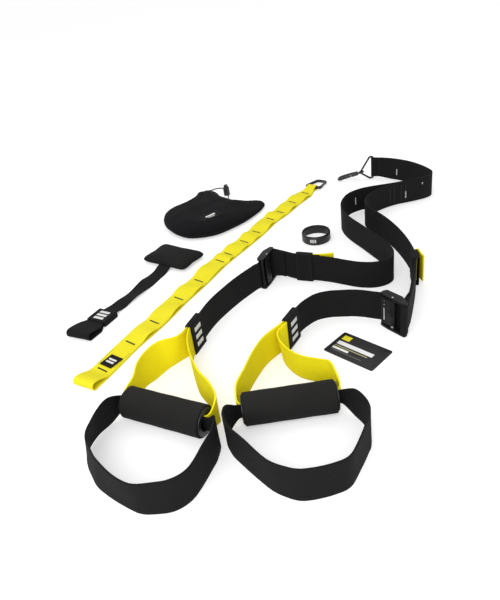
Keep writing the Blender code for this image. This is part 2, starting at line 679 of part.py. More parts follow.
def pull_tab(name, side, parent):
    """The yellow pull tab: sewn in under the keeper, its free end standing off the strap."""
    base, from_bar = strand_stations(side)
    start = side["keeper_from_bar"] - KEEPER_LENGTH / 2
    end = start + KEEPER_LENGTH + TAB_LENGTH
    chosen = (from_bar > start - WEB_THICK) & (from_bar < end + WEB_THICK)
    peel = TAB_PEEL * ramp(from_bar, start + KEEPER_LENGTH, end + TAB_LENGTH / 2)
    rows = shifted(base, tab_offset(side, from_bar) + side["ply"] * peel)[chosen]
    return standing_strap(name, lift_at_buckle(rows, side), WEBBING_YELLOW, parent)


def web_sleeve(name, place, length, stack, width, wall, spec, parent):
    """A flat sleeve along X: its opening is as deep in Y as a stack of webbing and as wide in Z as the webbing."""
    half_y, half_z = stack / 2 + GAP, width / 2 + GAP
    inner = box_outline(-half_y, -half_z, half_y, half_z, GAP, 1)
    outer = box_outline(-half_y - wall, -half_z - wall, half_y + wall, half_z + wall, wall, 1)
    rings = []
    for outline, x in ((inner, -length / 2), (outer, -length / 2), (outer, length / 2), (inner, length / 2)):
        rings.append([(x, y, z) for y, z in outline])
    return finish_mesh(loft(rings, closed=True), name, spec, parent, place)


def keeper(name, side, parent):
    """The keeper that holds the free tail and the pull tab against the main strap."""
    line = lift_at_buckle(strand_line(side), side)
    from_bar = distances(line)[-1] - distances(line)
    i = int(np.argmin(np.abs(from_bar - side["keeper_from_bar"])))
    plies = np.array((side["ply"] * HALF_PITCH, tail_offset(side, from_bar)[i], tab_offset(side, from_bar)[i]))
    row = shifted(line, (plies.min() + plies.max()) / 2)[i]
    turn = math.atan2(row[6], row[5]) - math.pi / 2
    place = Matrix.Translation((row[0], row[1], (row[2] + row[3]) / 2)) @ Matrix.Rotation(turn, 4, "Z")
    stack = 3 * PLY_PITCH + KEEPER_SLACK
    return web_sleeve(name, place, KEEPER_LENGTH, stack, WEB_WIDTH, SLEEVE_WALL, WEBBING_BLACK, parent)


def buckle_frame(name, parent):
    """The buckle's frame: two side rails, the fixed bar, the end bar and the plate under the cam."""
    round_bar = BUCKLE_BAR_R + BUCKLE_RAIL * 0.2
    x0, x1 = END_BAR_X - round_bar, FIXED_BAR_X + round_bar
    low, high = PLATE_Y - BUCKLE_PLATE * 0.6, CAM_PIN_Y + CAM_PIN_R * 2.2
    corners = [(x0 + BUCKLE_BAR_R, low), (FIXED_BAR_X * 0.3, low), (x1, -round_bar), (x1, round_bar),
               (CAM_PIN_X + CAM_R, high), (CAM_PIN_X - CAM_R, high), (x0, END_BAR_Y + round_bar), (x0, low / 2)]
    outline = rounded_outline(corners, BUCKLE_CORNER, 3)
    rails = []
    for sign in (-1, 1):
        near, far = sorted((sign * BUCKLE_HALF_GAP, sign * BUCKLE_HALF_WIDTH))
        rails.append(finish_mesh(extrude_outline(outline, near, far), name, BLACK_METAL, parent))
    frame, other = rails
    reach = BUCKLE_HALF_WIDTH - BUCKLE_RAIL / 2
    upright = Matrix.Rotation(math.pi / 2, 4, "Y")
    bars = []
    for x, y in ((FIXED_BAR_X, 0), (END_BAR_X, END_BAR_Y)):
        place = Matrix.Translation((x, y, 0)) @ upright
        bars.append(rod("bar", 2 * reach, BUCKLE_BAR_R, BLACK_METAL, 14, parent, place))
    plate_outline = box_outline(CAM_PIN_X - CAM_R * 1.4, PLATE_Y - BUCKLE_PLATE / 2, CAM_PIN_X + CAM_R * 0.5,
                                PLATE_Y + BUCKLE_PLATE / 2, BUCKLE_PLATE * 0.3, 2)
    plate = finish_mesh(extrude_outline(plate_outline, -reach, reach), "cam_plate", BLACK_METAL, parent)
    combine(frame, [other, plate] + bars, "UNION")
    bore = rod("pin_bore", 2 * BUCKLE_HALF_WIDTH + CUT_OVERRUN, CAM_PIN_R + GAP, BLACK_METAL, 14, parent,
               Matrix.Translation((CAM_PIN_X, CAM_PIN_Y, 0)) @ upright, 0.1)
    return combine(frame, [bore], "DIFFERENCE")


def cam_lever(name, parent):
    """The cam: a toothed nose over the strap and a finger plate with slots, in the axes of its pin."""
    spring_room = (CAM_SPRING_TURNS + 1) * (CAM_SPRING_WIRE + 2 * GAP)
    low, high = -BUCKLE_HALF_GAP + GAP, BUCKLE_HALF_GAP - GAP - spring_room
    outline = []
    for k in range(CAM_FACETS):
        turn = math.radians(-200 + 220 * k / (CAM_FACETS - 1))
        radius = CAM_R - (CAM_TOOTH if k % 2 and CAM_FACETS / 5 < k < CAM_FACETS * 0.7 else 0)
        outline.append((radius * math.cos(turn), radius * math.sin(turn)))
    reach = END_BAR_X - CAM_PIN_X + BUCKLE_BAR_R * 0.5
    top, edge = CAM_R * 0.98, CAM_LEVER_THICK * 0.4
    outline += [(0.0, top), (reach, top), (reach - edge, top - edge), (reach, top - 2 * edge),
                (-CAM_R * 1.05, top - CAM_LEVER_THICK)]
    lever = finish_mesh(extrude_outline(outline, low, high), name, BLACK_METAL, parent)
    upright = Matrix.Rotation(math.pi / 2, 4, "Y")
    cutters = [rod("lever_bore", 2 * BUCKLE_HALF_WIDTH, CAM_PIN_R + GAP, BLACK_METAL, 14, parent, upright, 0.1)]
    width = high - low
    for start, end in ((0.38, 0.90), (0.22, 0.30), (0.09, 0.15)):
        slot = box_outline(reach * 0.82, low + start * width, reach * 0.62, low + end * width, -reach * 0.06)
        bm = loft([[(x, y, z) for x, z in slot] for y in (0.0, CAM_R + CUT_OVERRUN)])
        cutters.append(finish_mesh(bm, "lever_slot", BLACK_METAL, parent))
    return combine(lever, cutters, "DIFFERENCE")


def coil_points(radius, pitch, turns, per_turn=9):
    """Points of a coil about Z, rising by its pitch each turn."""
    angles = 2 * math.pi * np.arange(int(turns * per_turn) + 1) / per_turn
    return np.stack((radius * np.cos(angles), radius * np.sin(angles), pitch * angles / (2 * math.pi)), axis=1)


def make_buckle(side_name, side, parent):
    """A whole cam buckle: frame, pin, lever and torsion spring."""
    seat = add_empty(side_name + "_buckle_seat", parent, buckle_place(side))
    buckle_frame(side_name + "_buckle_frame", seat)
    upright = Matrix.Rotation(math.pi / 2, 4, "Y")
    pin_place = Matrix.Translation((CAM_PIN_X, CAM_PIN_Y, 0))
    rod(side_name + "_cam_pin", 2 * BUCKLE_HALF_WIDTH, CAM_PIN_R, STEEL, 12, seat, pin_place @ upright)
    axis = add_empty(side_name + "_cam_axis", seat, pin_place)
    cam_lever(side_name + "_cam_lever", axis)
    pitch = CAM_SPRING_WIRE + 2 * GAP
    base = BUCKLE_HALF_GAP - GAP - CAM_SPRING_WIRE / 2 - pitch * CAM_SPRING_TURNS
    points = coil_points(CAM_PIN_R + CAM_SPRING_WIRE / 2 + 2 * GAP, pitch, CAM_SPRING_TURNS)
    wire(side_name + "_cam_spring", points, CAM_SPRING_WIRE / 2, STEEL, resolution=1, parent=seat,
         place=pin_place @ Matrix.Translation((0, 0, base)))


# Handles
def grip_plan(side, along, across):
    """A plan place by a grip: along its axis from its middle, and across, positive on the strap's side."""
    middle, axis = share_place(side["grip_shares"]), heading(side["grip_deg"])
    return middle + along * axis + across * np.array((-axis[1], axis[0]))


def tucked(side, along, across, open_share=0.0):
    """A row of webbing beside or inside a grip, drawn in to the tuck height; open_share opens it up again."""
    half = (TUCK_HEIGHT + open_share * (WEB_WIDTH - TUCK_HEIGHT)) / 2
    low = max(SLEEVE_RISE, GRIP_R - half)
    spot = grip_plan(side, along, across)
    return (spot[0], spot[1], low, low + 2 * half, 0.0)


def yellow_sling(name, side, parent):
    """The yellow webbing: out of the sleeve, down to one grip end, through the grip, and back up."""
    middle, along = share_place(side["sleeve_shares"]), heading(side["sleeve_deg"])
    normal = np.array((-along[1], along[0]))
    end = GRIP_LENGTH / 2
    sewn = []
    for sign in (-1, 1):
        sewn.append([at_spot(middle + along * share * SLEEVE_LENGTH + normal * sign * PLY_PITCH)
                     for share in (-0.05, 0.25, 0.52)])
    rows = sewn[0] + [at(*spot) for spot in side["near_branch"]]
    turn = ((0.26, 1.20, 0.75), (0.58, 0.72, 0.45), (0.62, 0.22, 0.15), (0.30, 0.03, 0.0))
    rows += [tucked(side, -end - a * GRIP_R, b * GRIP_R, o) for a, b, o in turn]
    rows += [tucked(side, share * end, 0.0) for share in (-0.92, -0.4, 0.4, 0.92)]
    rows += [tucked(side, end + a * GRIP_R, b * GRIP_R, o) for a, b, o in reversed(turn)]
    rows += [at(*spot[:4], -spot[4]) for spot in reversed(side["far_branch"])]
    rows += sewn[1][::-1]
    rows = with_normals(smooth_rows(rows, 9))
    return standing_strap(name, rows[stations(rows)], WEBBING_YELLOW, parent)


def foot_cradle(name, side, parent):
    """The black foot loop, tucked into both ends of the grip beside the yellow webbing."""
    end = GRIP_LENGTH / 2
    turn = ((-0.35, -1.0, 0.0), (0.12, -1.0, 0.0), (0.36, -1.3, 0.08))
    rows = [tucked(side, -end - a * GRIP_R, b * PLY_PITCH, o) for a, b, o in turn]
    rows += [at(*spot) for spot in side["cradle_shares"]]
    rows += [tucked(side, end + a * GRIP_R, b * PLY_PITCH, o) for a, b, o in reversed(turn)]
    rows = with_normals(smooth_rows(rows, 9))
    return standing_strap(name, rows[stations(rows)], WEBBING_BLACK, parent)


def make_grip(side_name, side, parent):
    """A hand grip: foam over a plastic tube, with a flanged cap in each end, on the spin axis."""
    axis = add_empty(side_name + "_grip_axis", parent, flat_place(side["grip_shares"], side["grip_deg"], GRIP_R))
    half, edge = GRIP_LENGTH / 2, GRIP_R * 0.09
    foam = [(-half, GRIP_BORE_R), (-half, GRIP_R - edge), (-half + edge * 0.3, GRIP_R - edge * 0.3),
            (-half + edge, GRIP_R), (half - edge, GRIP_R), (half - edge * 0.3, GRIP_R - edge * 0.3),
            (half, GRIP_R - edge), (half, GRIP_BORE_R)]
    finish_mesh(turned(foam, 32), side_name + "_grip_foam", FOAM, axis)
    inner = TUBE_R - TUBE_WALL
    tube = [(-half, inner), (-half, TUBE_R), (half, TUBE_R), (half, inner)]
    finish_mesh(turned(tube, 24), side_name + "_grip_tube", PLASTIC, axis)
    spigot_r = inner - GAP
    bore_r = spigot_r - CAP_WALL
    for label, sign in (("cap_near", -1), ("cap_far", 1)):
        face, back = sign * (half + GAP), sign * (half + GAP + CAP_FLANGE)
        inside = sign * (half - CAP_SPIGOT)
        profile = [(inside, bore_r), (inside, spigot_r), (face, spigot_r), (face, CAP_FLANGE_R),
                   (back, CAP_FLANGE_R - CAP_FLANGE * 0.4), (back, bore_r)]
        finish_mesh(turned(profile, 24), side_name + "_grip_" + label, PLASTIC, axis)


def label_sleeve(name, side, parent):
    """The label sleeve that wraps the join of the lower strap and the yellow webbing."""
    place = flat_place(side["sleeve_shares"], side["sleeve_deg"], SLEEVE_RISE + WEB_WIDTH / 2)
    return web_sleeve(name, place, SLEEVE_LENGTH, 3 * PLY_PITCH, WEB_WIDTH, SLEEVE_WALL, LABEL, parent)


# Top end: sling, ring, swivel and hook
def anchor_sling(name, parent):
    """The doubled sling: two plies from the fork to the loop round the ring's bar."""
    rows = [at(*RING_BAR_SHARES)] + [at(*spot) for spot in SLING_ROUTE_SHARES]
    line = with_normals(smooth_rows(rows))
    base = line[stations(line, 5 * RING_LOOP_R, 0.0)]
    run = distances(base)
    near = 1 - ramp(run, 0, WEB_WIDTH)
    base[:, 2] += near * (RING_WEB_FOOT - SLEEVE_RISE)
    base[:, 3] += near * (RING_WEB_HEAD - SLEEVE_RISE - WEB_WIDTH)
    offset = eye_offsets(run, HALF_PITCH, RING_LOOP_R, 4 * RING_LOOP_R)
    first = backwards(shifted(base, -offset))
    facing = math.atan2(base[0, 6], base[0, 5])
    arc = turn_rows(base[0, :2], RING_LOOP_R, facing + math.pi, -math.pi, base[0])
    second = shifted(base, offset)
    return standing_strap(name, np.concatenate((first[:-1], arc, second[1:])), WEBBING_BLACK, parent)


def delta_ring(name, parent):
    """The triangular ring: a straight bar on Z, two shoulders and two arms to a blunt apex on X."""
    shoulder, blunt = RING_REACH * RING_SHOULDER_SHARE, RING_ROD_R * 1.2
    corners = [(0, RING_ROD_R), (shoulder, RING_ROD_R), (RING_REACH, RING_APEX - blunt),
               (RING_REACH, RING_APEX + blunt), (shoulder, RING_TOP), (0, RING_TOP)]
    outline = rounded_outline(corners, RING_CORNER, 4)
    return wire(name, [(x, 0, z) for x, z in outline], RING_ROD_R, BLACK_METAL, closed=True, parent=parent)


def swivel_eye(name, parent):
    """The swivel's eye and shank: eye round the ring's apex at the origin, shank along X with its riveted head."""
    angles = np.linspace(0, 2 * math.pi, 16, endpoint=False)
    eye = wire(name, [(EYE_R * math.cos(a), EYE_R * math.sin(a), 0) for a in angles], EYE_ROD_R, BLACK_METAL,
               closed=True, parent=parent)
    end = BARREL_X + BARREL_LENGTH + GAP + SHANK_HEAD
    shank = rod("shank", end - EYE_R, SHANK_R, BLACK_METAL, 12, parent, Matrix.Translation(((end + EYE_R) / 2, 0, 0)),
                0.1)
    head = rod("shank_head", SHANK_HEAD, SHANK_HEAD_R, BLACK_METAL, 14, parent,
               Matrix.Translation((end - SHANK_HEAD / 2, 0, 0)), 0.2)
    return combine(eye, [shank, head], "UNION")


def snap_clip(name, corners, rod_r, corner_r, hinge_share, nose_share, spec, parent, barrel=None, bore=None):
    """A snap clip in its own XY plane: open frame with a hinge tongue, forked gate, gate pin and gate spring.

    The gate closes the side from the first corner to the last; the shares say where along it hinge and nose are.
    """
    first, last = np.array(corners[0], float), np.array(corners[-1], float)
    length = np.linalg.norm(last - first)
    along = (last - first) / length
    turn = math.atan2(along[1], along[0])
    hinge, nose = first + (last - first) * hinge_share, first + (last - first) * nose_share
    shoulder = rod_r * 1.55
    path = [tuple(hinge - along * shoulder)] + rounded_outline(corners, corner_r, 5) + [tuple(nose)]
    body = wire(name + "_body", [(x, y, 0) for x, y in path], rod_r, spec, parent=parent)
    seat = Matrix.Translation((*hinge, 0)) @ Matrix.Rotation(turn, 4, "Z")
    upright = Matrix.Rotation(math.pi / 2, 4, "Y")
    tongue, nose_r = rod_r * 0.8, rod_r * 0.88
    outline = [(-shoulder - rod_r, -rod_r * 0.7)]
    outline += [(nose_r * math.cos(math.radians(a)), nose_r * math.sin(math.radians(a)))
                for a in range(-108, 109, 24)]
    outline += [(-shoulder - rod_r, rod_r * 0.7)]
    joined = [finish_mesh(extrude_outline(outline, -tongue / 2, tongue / 2), "tongue", spec, parent, seat)]
    if barrel:
        joined.append(barrel)
    combine(body, joined, "UNION")
    cutters = [rod("pin_bore", 4 * rod_r, GATE_PIN_R + GAP, spec, 12, parent, seat @ upright, 0.05)]
    if bore:
        cutters.append(bore)
    combine(body, cutters, "DIFFERENCE")
    gate_r = rod_r * 0.86
    rod(name + "_gate_pin", 2 * gate_r, GATE_PIN_R, STEEL, 12, parent, seat @ upright)
    axis = add_empty(name + "_gate_axis", parent, seat)
    reach = length * (nose_share - hinge_share) - GAP
    gate = rod(name + "_gate", reach + gate_r, gate_r, spec, 14, axis,
               Matrix.Translation(((reach - gate_r) / 2, 0, 0)), 0.25)
    slot = tongue / 2 + GAP
    slot_end = nose_r + 2 * GAP
    slot_outline = box_outline(-gate_r - CUT_OVERRUN, -2 * gate_r, slot_end, 2 * gate_r)
    bore_r, bore_end = gate_r * 0.5, slot_end + reach * 0.3
    cutters = [finish_mesh(extrude_outline(slot_outline, -slot, slot), "fork_slot", spec, axis),
               rod("gate_bore", 4 * rod_r, GATE_PIN_R + GAP, spec, 12, axis, upright, 0.05),
               rod("spring_bore", bore_end, bore_r, spec, 12, axis, Matrix.Translation((bore_end / 2, 0, 0)), 0.05)]
    combine(gate, cutters, "DIFFERENCE")
    wire_r = bore_r * 0.2
    rise = bore_end - slot_end - 2 * wire_r - GAP
    points = coil_points(bore_r - GAP - wire_r, rise / GATE_SPRING_TURNS, GATE_SPRING_TURNS, 7)
    wire(name + "_gate_spring", points, wire_r, STEEL, resolution=0, parent=axis,
         place=Matrix.Translation((slot_end + wire_r, 0, 0)) @ Matrix.Rotation(math.pi / 2, 4, "Y"))


def top_end(root):
    """The ring on the sling, the swivel on the ring and the snap hook on the swivel."""
    ring_axis = add_empty("ring_axis", root, flat_place(RING_BAR_SHARES, RING_DEG))
    delta_ring("delta_ring", ring_axis)
    hook_reach = BARREL_X + BARREL_LENGTH / 2 + HOOK_LENGTH - HOOK_ROD_R
    slope = math.asin((RING_APEX - HOOK_ROD_R - GAP) / hook_reach)
    seat = Matrix.Translation((RING_REACH, 0, RING_APEX))
    seat = seat @ Matrix.Rotation(math.radians(HOOK_DEG - RING_DEG), 4, "Z") @ Matrix.Rotation(slope, 4, "Y")
    eye_axis = add_empty("eye_axis", ring_axis, seat)
    swivel_eye("swivel_eye", eye_axis)
    gate_up = Matrix.Rotation(math.pi, 4, "X")
    hook_axis = add_empty("hook_axis", eye_axis, Matrix.Translation((BARREL_X + BARREL_LENGTH / 2, 0, 0)) @ gate_up)
    base, tip, half = BARREL_LENGTH * 0.15, HOOK_LENGTH - HOOK_ROD_R, HOOK_WIDTH / 2 - HOOK_ROD_R
    corners = [(base, -half * 0.75), (base, half * 0.75), (tip * 0.35, half), (tip, half * 0.85), (tip, -half)]
    barrel = rod("barrel", BARREL_LENGTH, BARREL_R, BLACK_METAL, 16, hook_axis, None, 0.15)
    bore = rod("swivel_bore", BARREL_LENGTH * 1.6, SHANK_R + GAP, BLACK_METAL, 14, hook_axis, None, 0.05)
    corner_radii = [HOOK_ROD_R, HOOK_ROD_R, HOOK_CORNER, HOOK_CORNER, HOOK_CORNER]
    snap_clip("snap_hook", corners, HOOK_ROD_R, corner_radii, 0.30, 0.74, BLACK_METAL, hook_axis, barrel, bore)


# Flat straps
def flat_line(rows):
    """The dense plan line of a flat strap from its (x, y) shares."""
    return smooth_rows([share_place(row) for row in rows], 12)


def flat_strap(name, line, widths, path, thick, spec, parent, closed=False, marks=()):
    """Webbing lying flat: a side path of (distance along the line, height), skinned across its width.

    widths are (distance, width) pairs, and marks are distances that keep a station on each ply. Past the line's
    ends the path runs on straight.
    """
    run = distances(line)
    tangent = np.gradient(line[:, :2], axis=0)
    tangent /= np.linalg.norm(tangent, axis=1)[:, None]
    path = np.array(path, float)
    inside = np.clip(path[:, 0], 0, run[-1])
    past = (path[:, 0] - inside)[:, None]
    along = np.stack([np.interp(inside, run, tangent[:, k]) for k in range(2)], axis=1)
    along /= np.linalg.norm(along, axis=1)[:, None]
    plan = np.stack([np.interp(inside, run, line[:, k]) for k in range(2)], axis=1) + past * along
    width = np.interp(path[:, 0], *zip(*widths))
    slope = np.gradient(path, axis=0)
    if closed:
        slope[0] = path[1] - path[-1]
        slope[-1] = path[0] - path[-2]
    slope /= np.linalg.norm(slope, axis=1)[:, None]
    side = np.column_stack((-along[:, 1], along[:, 0], 0 * width)) * width[:, None] / 2
    lift = np.column_stack((along * -slope[:, 1:2], slope[:, 0])) * thick / 2
    centre = np.column_stack((plan, path[:, 1]))
    passes = np.zeros(len(path), bool)
    for mark in marks:
        passes[:-1] |= (path[:-1, 0] - mark) * (path[1:, 0] - mark) <= 0
    kept = [0]
    for i in range(1, len(path) - 1):
        last = kept[-1]
        tilt = abs(math.atan2(slope[i, 0] * slope[last, 1] - slope[i, 1] * slope[last, 0], slope[i] @ slope[last]))
        turn = abs(math.atan2(along[i, 0] * along[last, 1] - along[i, 1] * along[last, 0], along[i] @ along[last]))
        step = np.linalg.norm(centre[i] - centre[last])
        if tilt > math.radians(FLAT_TILT_DEG) or turn > math.radians(WEB_TURN_DEG) or step > WEB_STATION:
            kept.append(i)
        elif passes[i]:
            kept.append(i)
    kept.append(len(path) - 1)
    rings = [[tuple(centre[i] - side[i] - lift[i]), tuple(centre[i] + side[i] - lift[i]),
              tuple(centre[i] + side[i] + lift[i]), tuple(centre[i] - side[i] + lift[i])] for i in kept]
    return finish_mesh(loft(rings, closed=closed), name, spec, parent)


def arc_path(middle, height, radius, start_deg, sweep_deg, steps=11):
    """A side path round an eye."""
    angles = np.radians(start_deg + sweep_deg * np.linspace(0, 1, steps))
    return np.stack((middle + radius * np.cos(angles), height + radius * np.sin(angles)), axis=1)


def anchor_heights(distance, total, tacks):
    """Height of the anchor strap's upper ply: flat at its tacks, arched between them, up to its eye and loop."""
    level = 1.5 * ANCHOR_THICK + GAP
    near_top = ANCHOR_THICK / 2 + 2 * ANCHOR_EYE_R
    far_top = ANCHOR_THICK / 2 + 2 * ANCHOR_ROD_LOOP
    tacks = np.array(tacks)
    i = np.clip(np.searchsorted(tacks, distance) - 1, 0, len(tacks) - 2)
    share = np.clip((distance - tacks[i]) / (tacks[i + 1] - tacks[i]), 0, 1)
    arch = ANCHOR_RIPPLE * np.sin(math.pi * share) ** 2 * (i > 0)
    rise = (near_top - level) * (1 - ramp(distance, 0, tacks[0] * 0.95))
    far_start = tacks[-1] + (total - tacks[-1]) * 0.2
    return level + arch + rise + (far_top - level) * ramp(distance, far_start, total)


def anchor_strap(root):
    """The anchor strap, an endless webbing flattened into two plies, its patch and its carabiner."""
    line = flat_line(ANCHOR_ROUTE_SHARES)
    total = distances(line)[-1]
    tacks = [share * LAID_OUT_SPAN for share in ANCHOR_TACK_SHARES]
    span = np.linspace(0, total, int(total / GAP / 6))
    low = np.stack((span, 0 * span + ANCHOR_THICK / 2), axis=1)
    high = np.stack((span, anchor_heights(span, total, tacks)), axis=1)[::-1]
    rod_height = ANCHOR_THICK / 2 + ANCHOR_ROD_LOOP
    far = arc_path(total, rod_height, ANCHOR_ROD_LOOP, -90, 180)
    near = arc_path(0.0, ANCHOR_THICK / 2 + ANCHOR_EYE_R, ANCHOR_EYE_R, 90, 180)
    path = np.concatenate((low[:-1], far, high[1:-1], near[:-1]))
    widths = ((0.0, ANCHOR_WIDTH), (total - ANCHOR_WIDTH, ANCHOR_WIDTH), (total - ANCHOR_WIDTH * 0.3, ANCHOR_NECK))
    flat_strap("anchor_strap", line, widths, path, ANCHOR_THICK, ANCHOR_YELLOW, root, closed=True)
    i = int(np.argmin(np.abs(distances(line) - PATCH_SHARE * LAID_OUT_SPAN)))
    step = line[i + 1] - line[i - 1]
    place = Matrix.Translation((*line[i], 2 * ANCHOR_THICK + 2 * GAP))
    place = place @ Matrix.Rotation(math.atan2(step[1], step[0]), 4, "Z")
    patch = box_outline(-PATCH_LENGTH / 2, -PATCH_WIDTH / 2, PATCH_LENGTH / 2, PATCH_WIDTH / 2, PATCH_THICK)
    finish_mesh(extrude_outline(patch, 0.0, PATCH_THICK), "anchor_patch", LABEL, root, place)
    step = line[-1] - line[-2]
    length, base_half = CARABINER_LENGTH - 2 * CARABINER_ROD_R, CARABINER_BASE / 2 - CARABINER_ROD_R
    tilt = math.asin((rod_height - CARABINER_ROD_R) / length)
    seat = Matrix.Translation((*line[-1], rod_height)) @ Matrix.Rotation(math.atan2(step[1], step[0]), 4, "Z")
    axis = add_empty("carabiner_axis", root, seat @ Matrix.Rotation(tilt, 4, "Y"))
    tip_half = CARABINER_TIP / 2 - CARABINER_ROD_R
    corners = [(length, -tip_half), (length, tip_half), (0.0, base_half), (0.0, -base_half)]
    snap_clip("carabiner", corners, CARABINER_ROD_R, CARABINER_CORNER, 0.26, 0.80, BLACK_METAL, axis)


def door_anchor(root):
    """The door anchor: a padded block, its strap, the sleeve on the strap and the wide end loop."""
    line = flat_line(DOOR_ROUTE_SHARES)
    total = distances(line)[-1]
    middle = DOOR_SLEEVE_SHARE * LAID_OUT_SPAN
    pitch = DOOR_THICK + GAP
    lowest = SLEEVE_WALL + 2 * GAP + DOOR_THICK / 2
    into = DOOR_SLEEVE_LENGTH / 2
    span = np.linspace(0, middle + into * 0.6, 90)
    height = DOOR_THICK / 2 + (PAD_HEIGHT * 0.3 - DOOR_THICK / 2) * (1 - ramp(span, POCKET_DEPTH * 1.2, POCKET_DEPTH * 4))
    height = height + (lowest + pitch - DOOR_THICK / 2) * ramp(span, middle - 2.8 * into, middle - 1.1 * into)
    path = np.stack((span, height), axis=1)
    marks = (POCKET_DEPTH * 1.2, middle - 1.1 * into, middle + 1.02 * into)
    flat_strap("door_strap", line, ((0, DOOR_WIDTH), (total, DOOR_WIDTH)), path, DOOR_THICK, WEBBING_BLACK, root,
               marks=marks)
    span = np.linspace(middle - into * 0.6, total - DOOR_LOOP_R, 60)
    leaving = ramp(span, middle + 1.05 * into, middle + 1.8 * into)
    low = np.stack((span, lowest - (lowest - DOOR_THICK / 2) * leaving), axis=1)
    top = DOOR_THICK / 2 + 2 * DOOR_LOOP_R
    opening = ramp(span, middle + 1.05 * into, total - DOOR_LOOP_R)
    high = np.stack((span, lowest + 2 * pitch + (top - lowest - 2 * pitch) * opening), axis=1)[::-1]
    eye = arc_path(total - DOOR_LOOP_R, DOOR_THICK / 2 + DOOR_LOOP_R, DOOR_LOOP_R, -90, 180)
    path = np.concatenate((low[:-1], eye, high[1:]))
    widths = ((middle + into, DOOR_WIDTH), (middle + 1.8 * into, DOOR_LOOP_WIDTH))
    flat_strap("door_loop", line, widths, path, DOOR_THICK, WEBBING_BLACK, root, marks=marks)
    i = int(np.argmin(np.abs(distances(line) - middle)))
    step = line[i + 1] - line[i - 1]
    place = Matrix.Translation((*line[i], lowest + pitch)) @ Matrix.Rotation(math.atan2(step[1], step[0]), 4, "Z")
    place = place @ Matrix.Rotation(math.pi / 2, 4, "X")
    web_sleeve("door_sleeve", place, DOOR_SLEEVE_LENGTH, 3 * pitch, DOOR_WIDTH + 2 * GAP, SLEEVE_WALL, LABEL, root)
    levels = ((0.0, 0.9), (0.12, 0.25), (0.3, 0.0), (0.7, 0.0), (0.88, 0.25), (1.0, 0.9))
    rings = []
    for level, inset_share in levels:
        inset = inset_share * PAD_HEIGHT * 0.16
        outline = box_outline(-PAD_LENGTH / 2 + inset, -PAD_WIDTH / 2 + inset, PAD_LENGTH / 2 - inset,
                              PAD_WIDTH / 2 - inset, PAD_CORNER - inset * 0.6, 4)
        rings.append([(x, y, level * PAD_HEIGHT) for x, y in outline])
    pad = finish_mesh(loft(rings), "door_pad", FOAM, root, flat_place(DOOR_PAD_SHARES, DOOR_PAD_DEG))
    step = line[1] - line[0]
    place = Matrix.Translation((*line[0], PAD_HEIGHT * 0.3)) @ Matrix.Rotation(math.atan2(step[1], step[0]), 4, "Z")
    half = DOOR_WIDTH / 2 + 2 * GAP
    pocket = extrude_outline(box_outline(-2 * GAP, -half, 3 * POCKET_DEPTH, half), -DOOR_THICK / 2 - 2 * GAP,
                             DOOR_THICK / 2 + 2 * GAP)
    combine(pad, [finish_mesh(pocket, "pocket", FOAM, root, place)], "DIFFERENCE")


# Bag, cord and cord lock
BAG_LEVEL_SHARES = ((0.0, 0.90), (0.10, 0.965), (0.32, 1.0), (0.58, 0.985), (0.80, 0.90), (0.93, 0.74),
                    (0.985, 0.50), (1.0, 0.25))


def bag_outline():
    """The bag's plan outline, smoothed, seen from its middle."""
    spots = BAG_OUTLINE_SHARES[-3:] + BAG_OUTLINE_SHARES + BAG_OUTLINE_SHARES[:3]
    dense = smooth_rows([share_place(spot) for spot in spots], 3)
    return dense[9:-10] - share_place(BAG_MIDDLE_SHARES)


def bag_height_at(spot):
    """Height of the bag's top at a plan place, from its level shares."""
    outline = bag_outline()
    angles = np.arctan2(outline[:, 1], outline[:, 0])
    order = np.argsort(angles)
    offset = np.array(spot) - share_place(BAG_MIDDLE_SHARES)
    edge = np.interp(math.atan2(offset[1], offset[0]), angles[order], np.linalg.norm(outline, axis=1)[order])
    upper = BAG_LEVEL_SHARES[:1:-1]
    scales, levels = [scale for _, scale in upper], [level for level, _ in upper]
    return BAG_HEIGHT * np.interp(np.linalg.norm(offset) / edge, scales, levels)


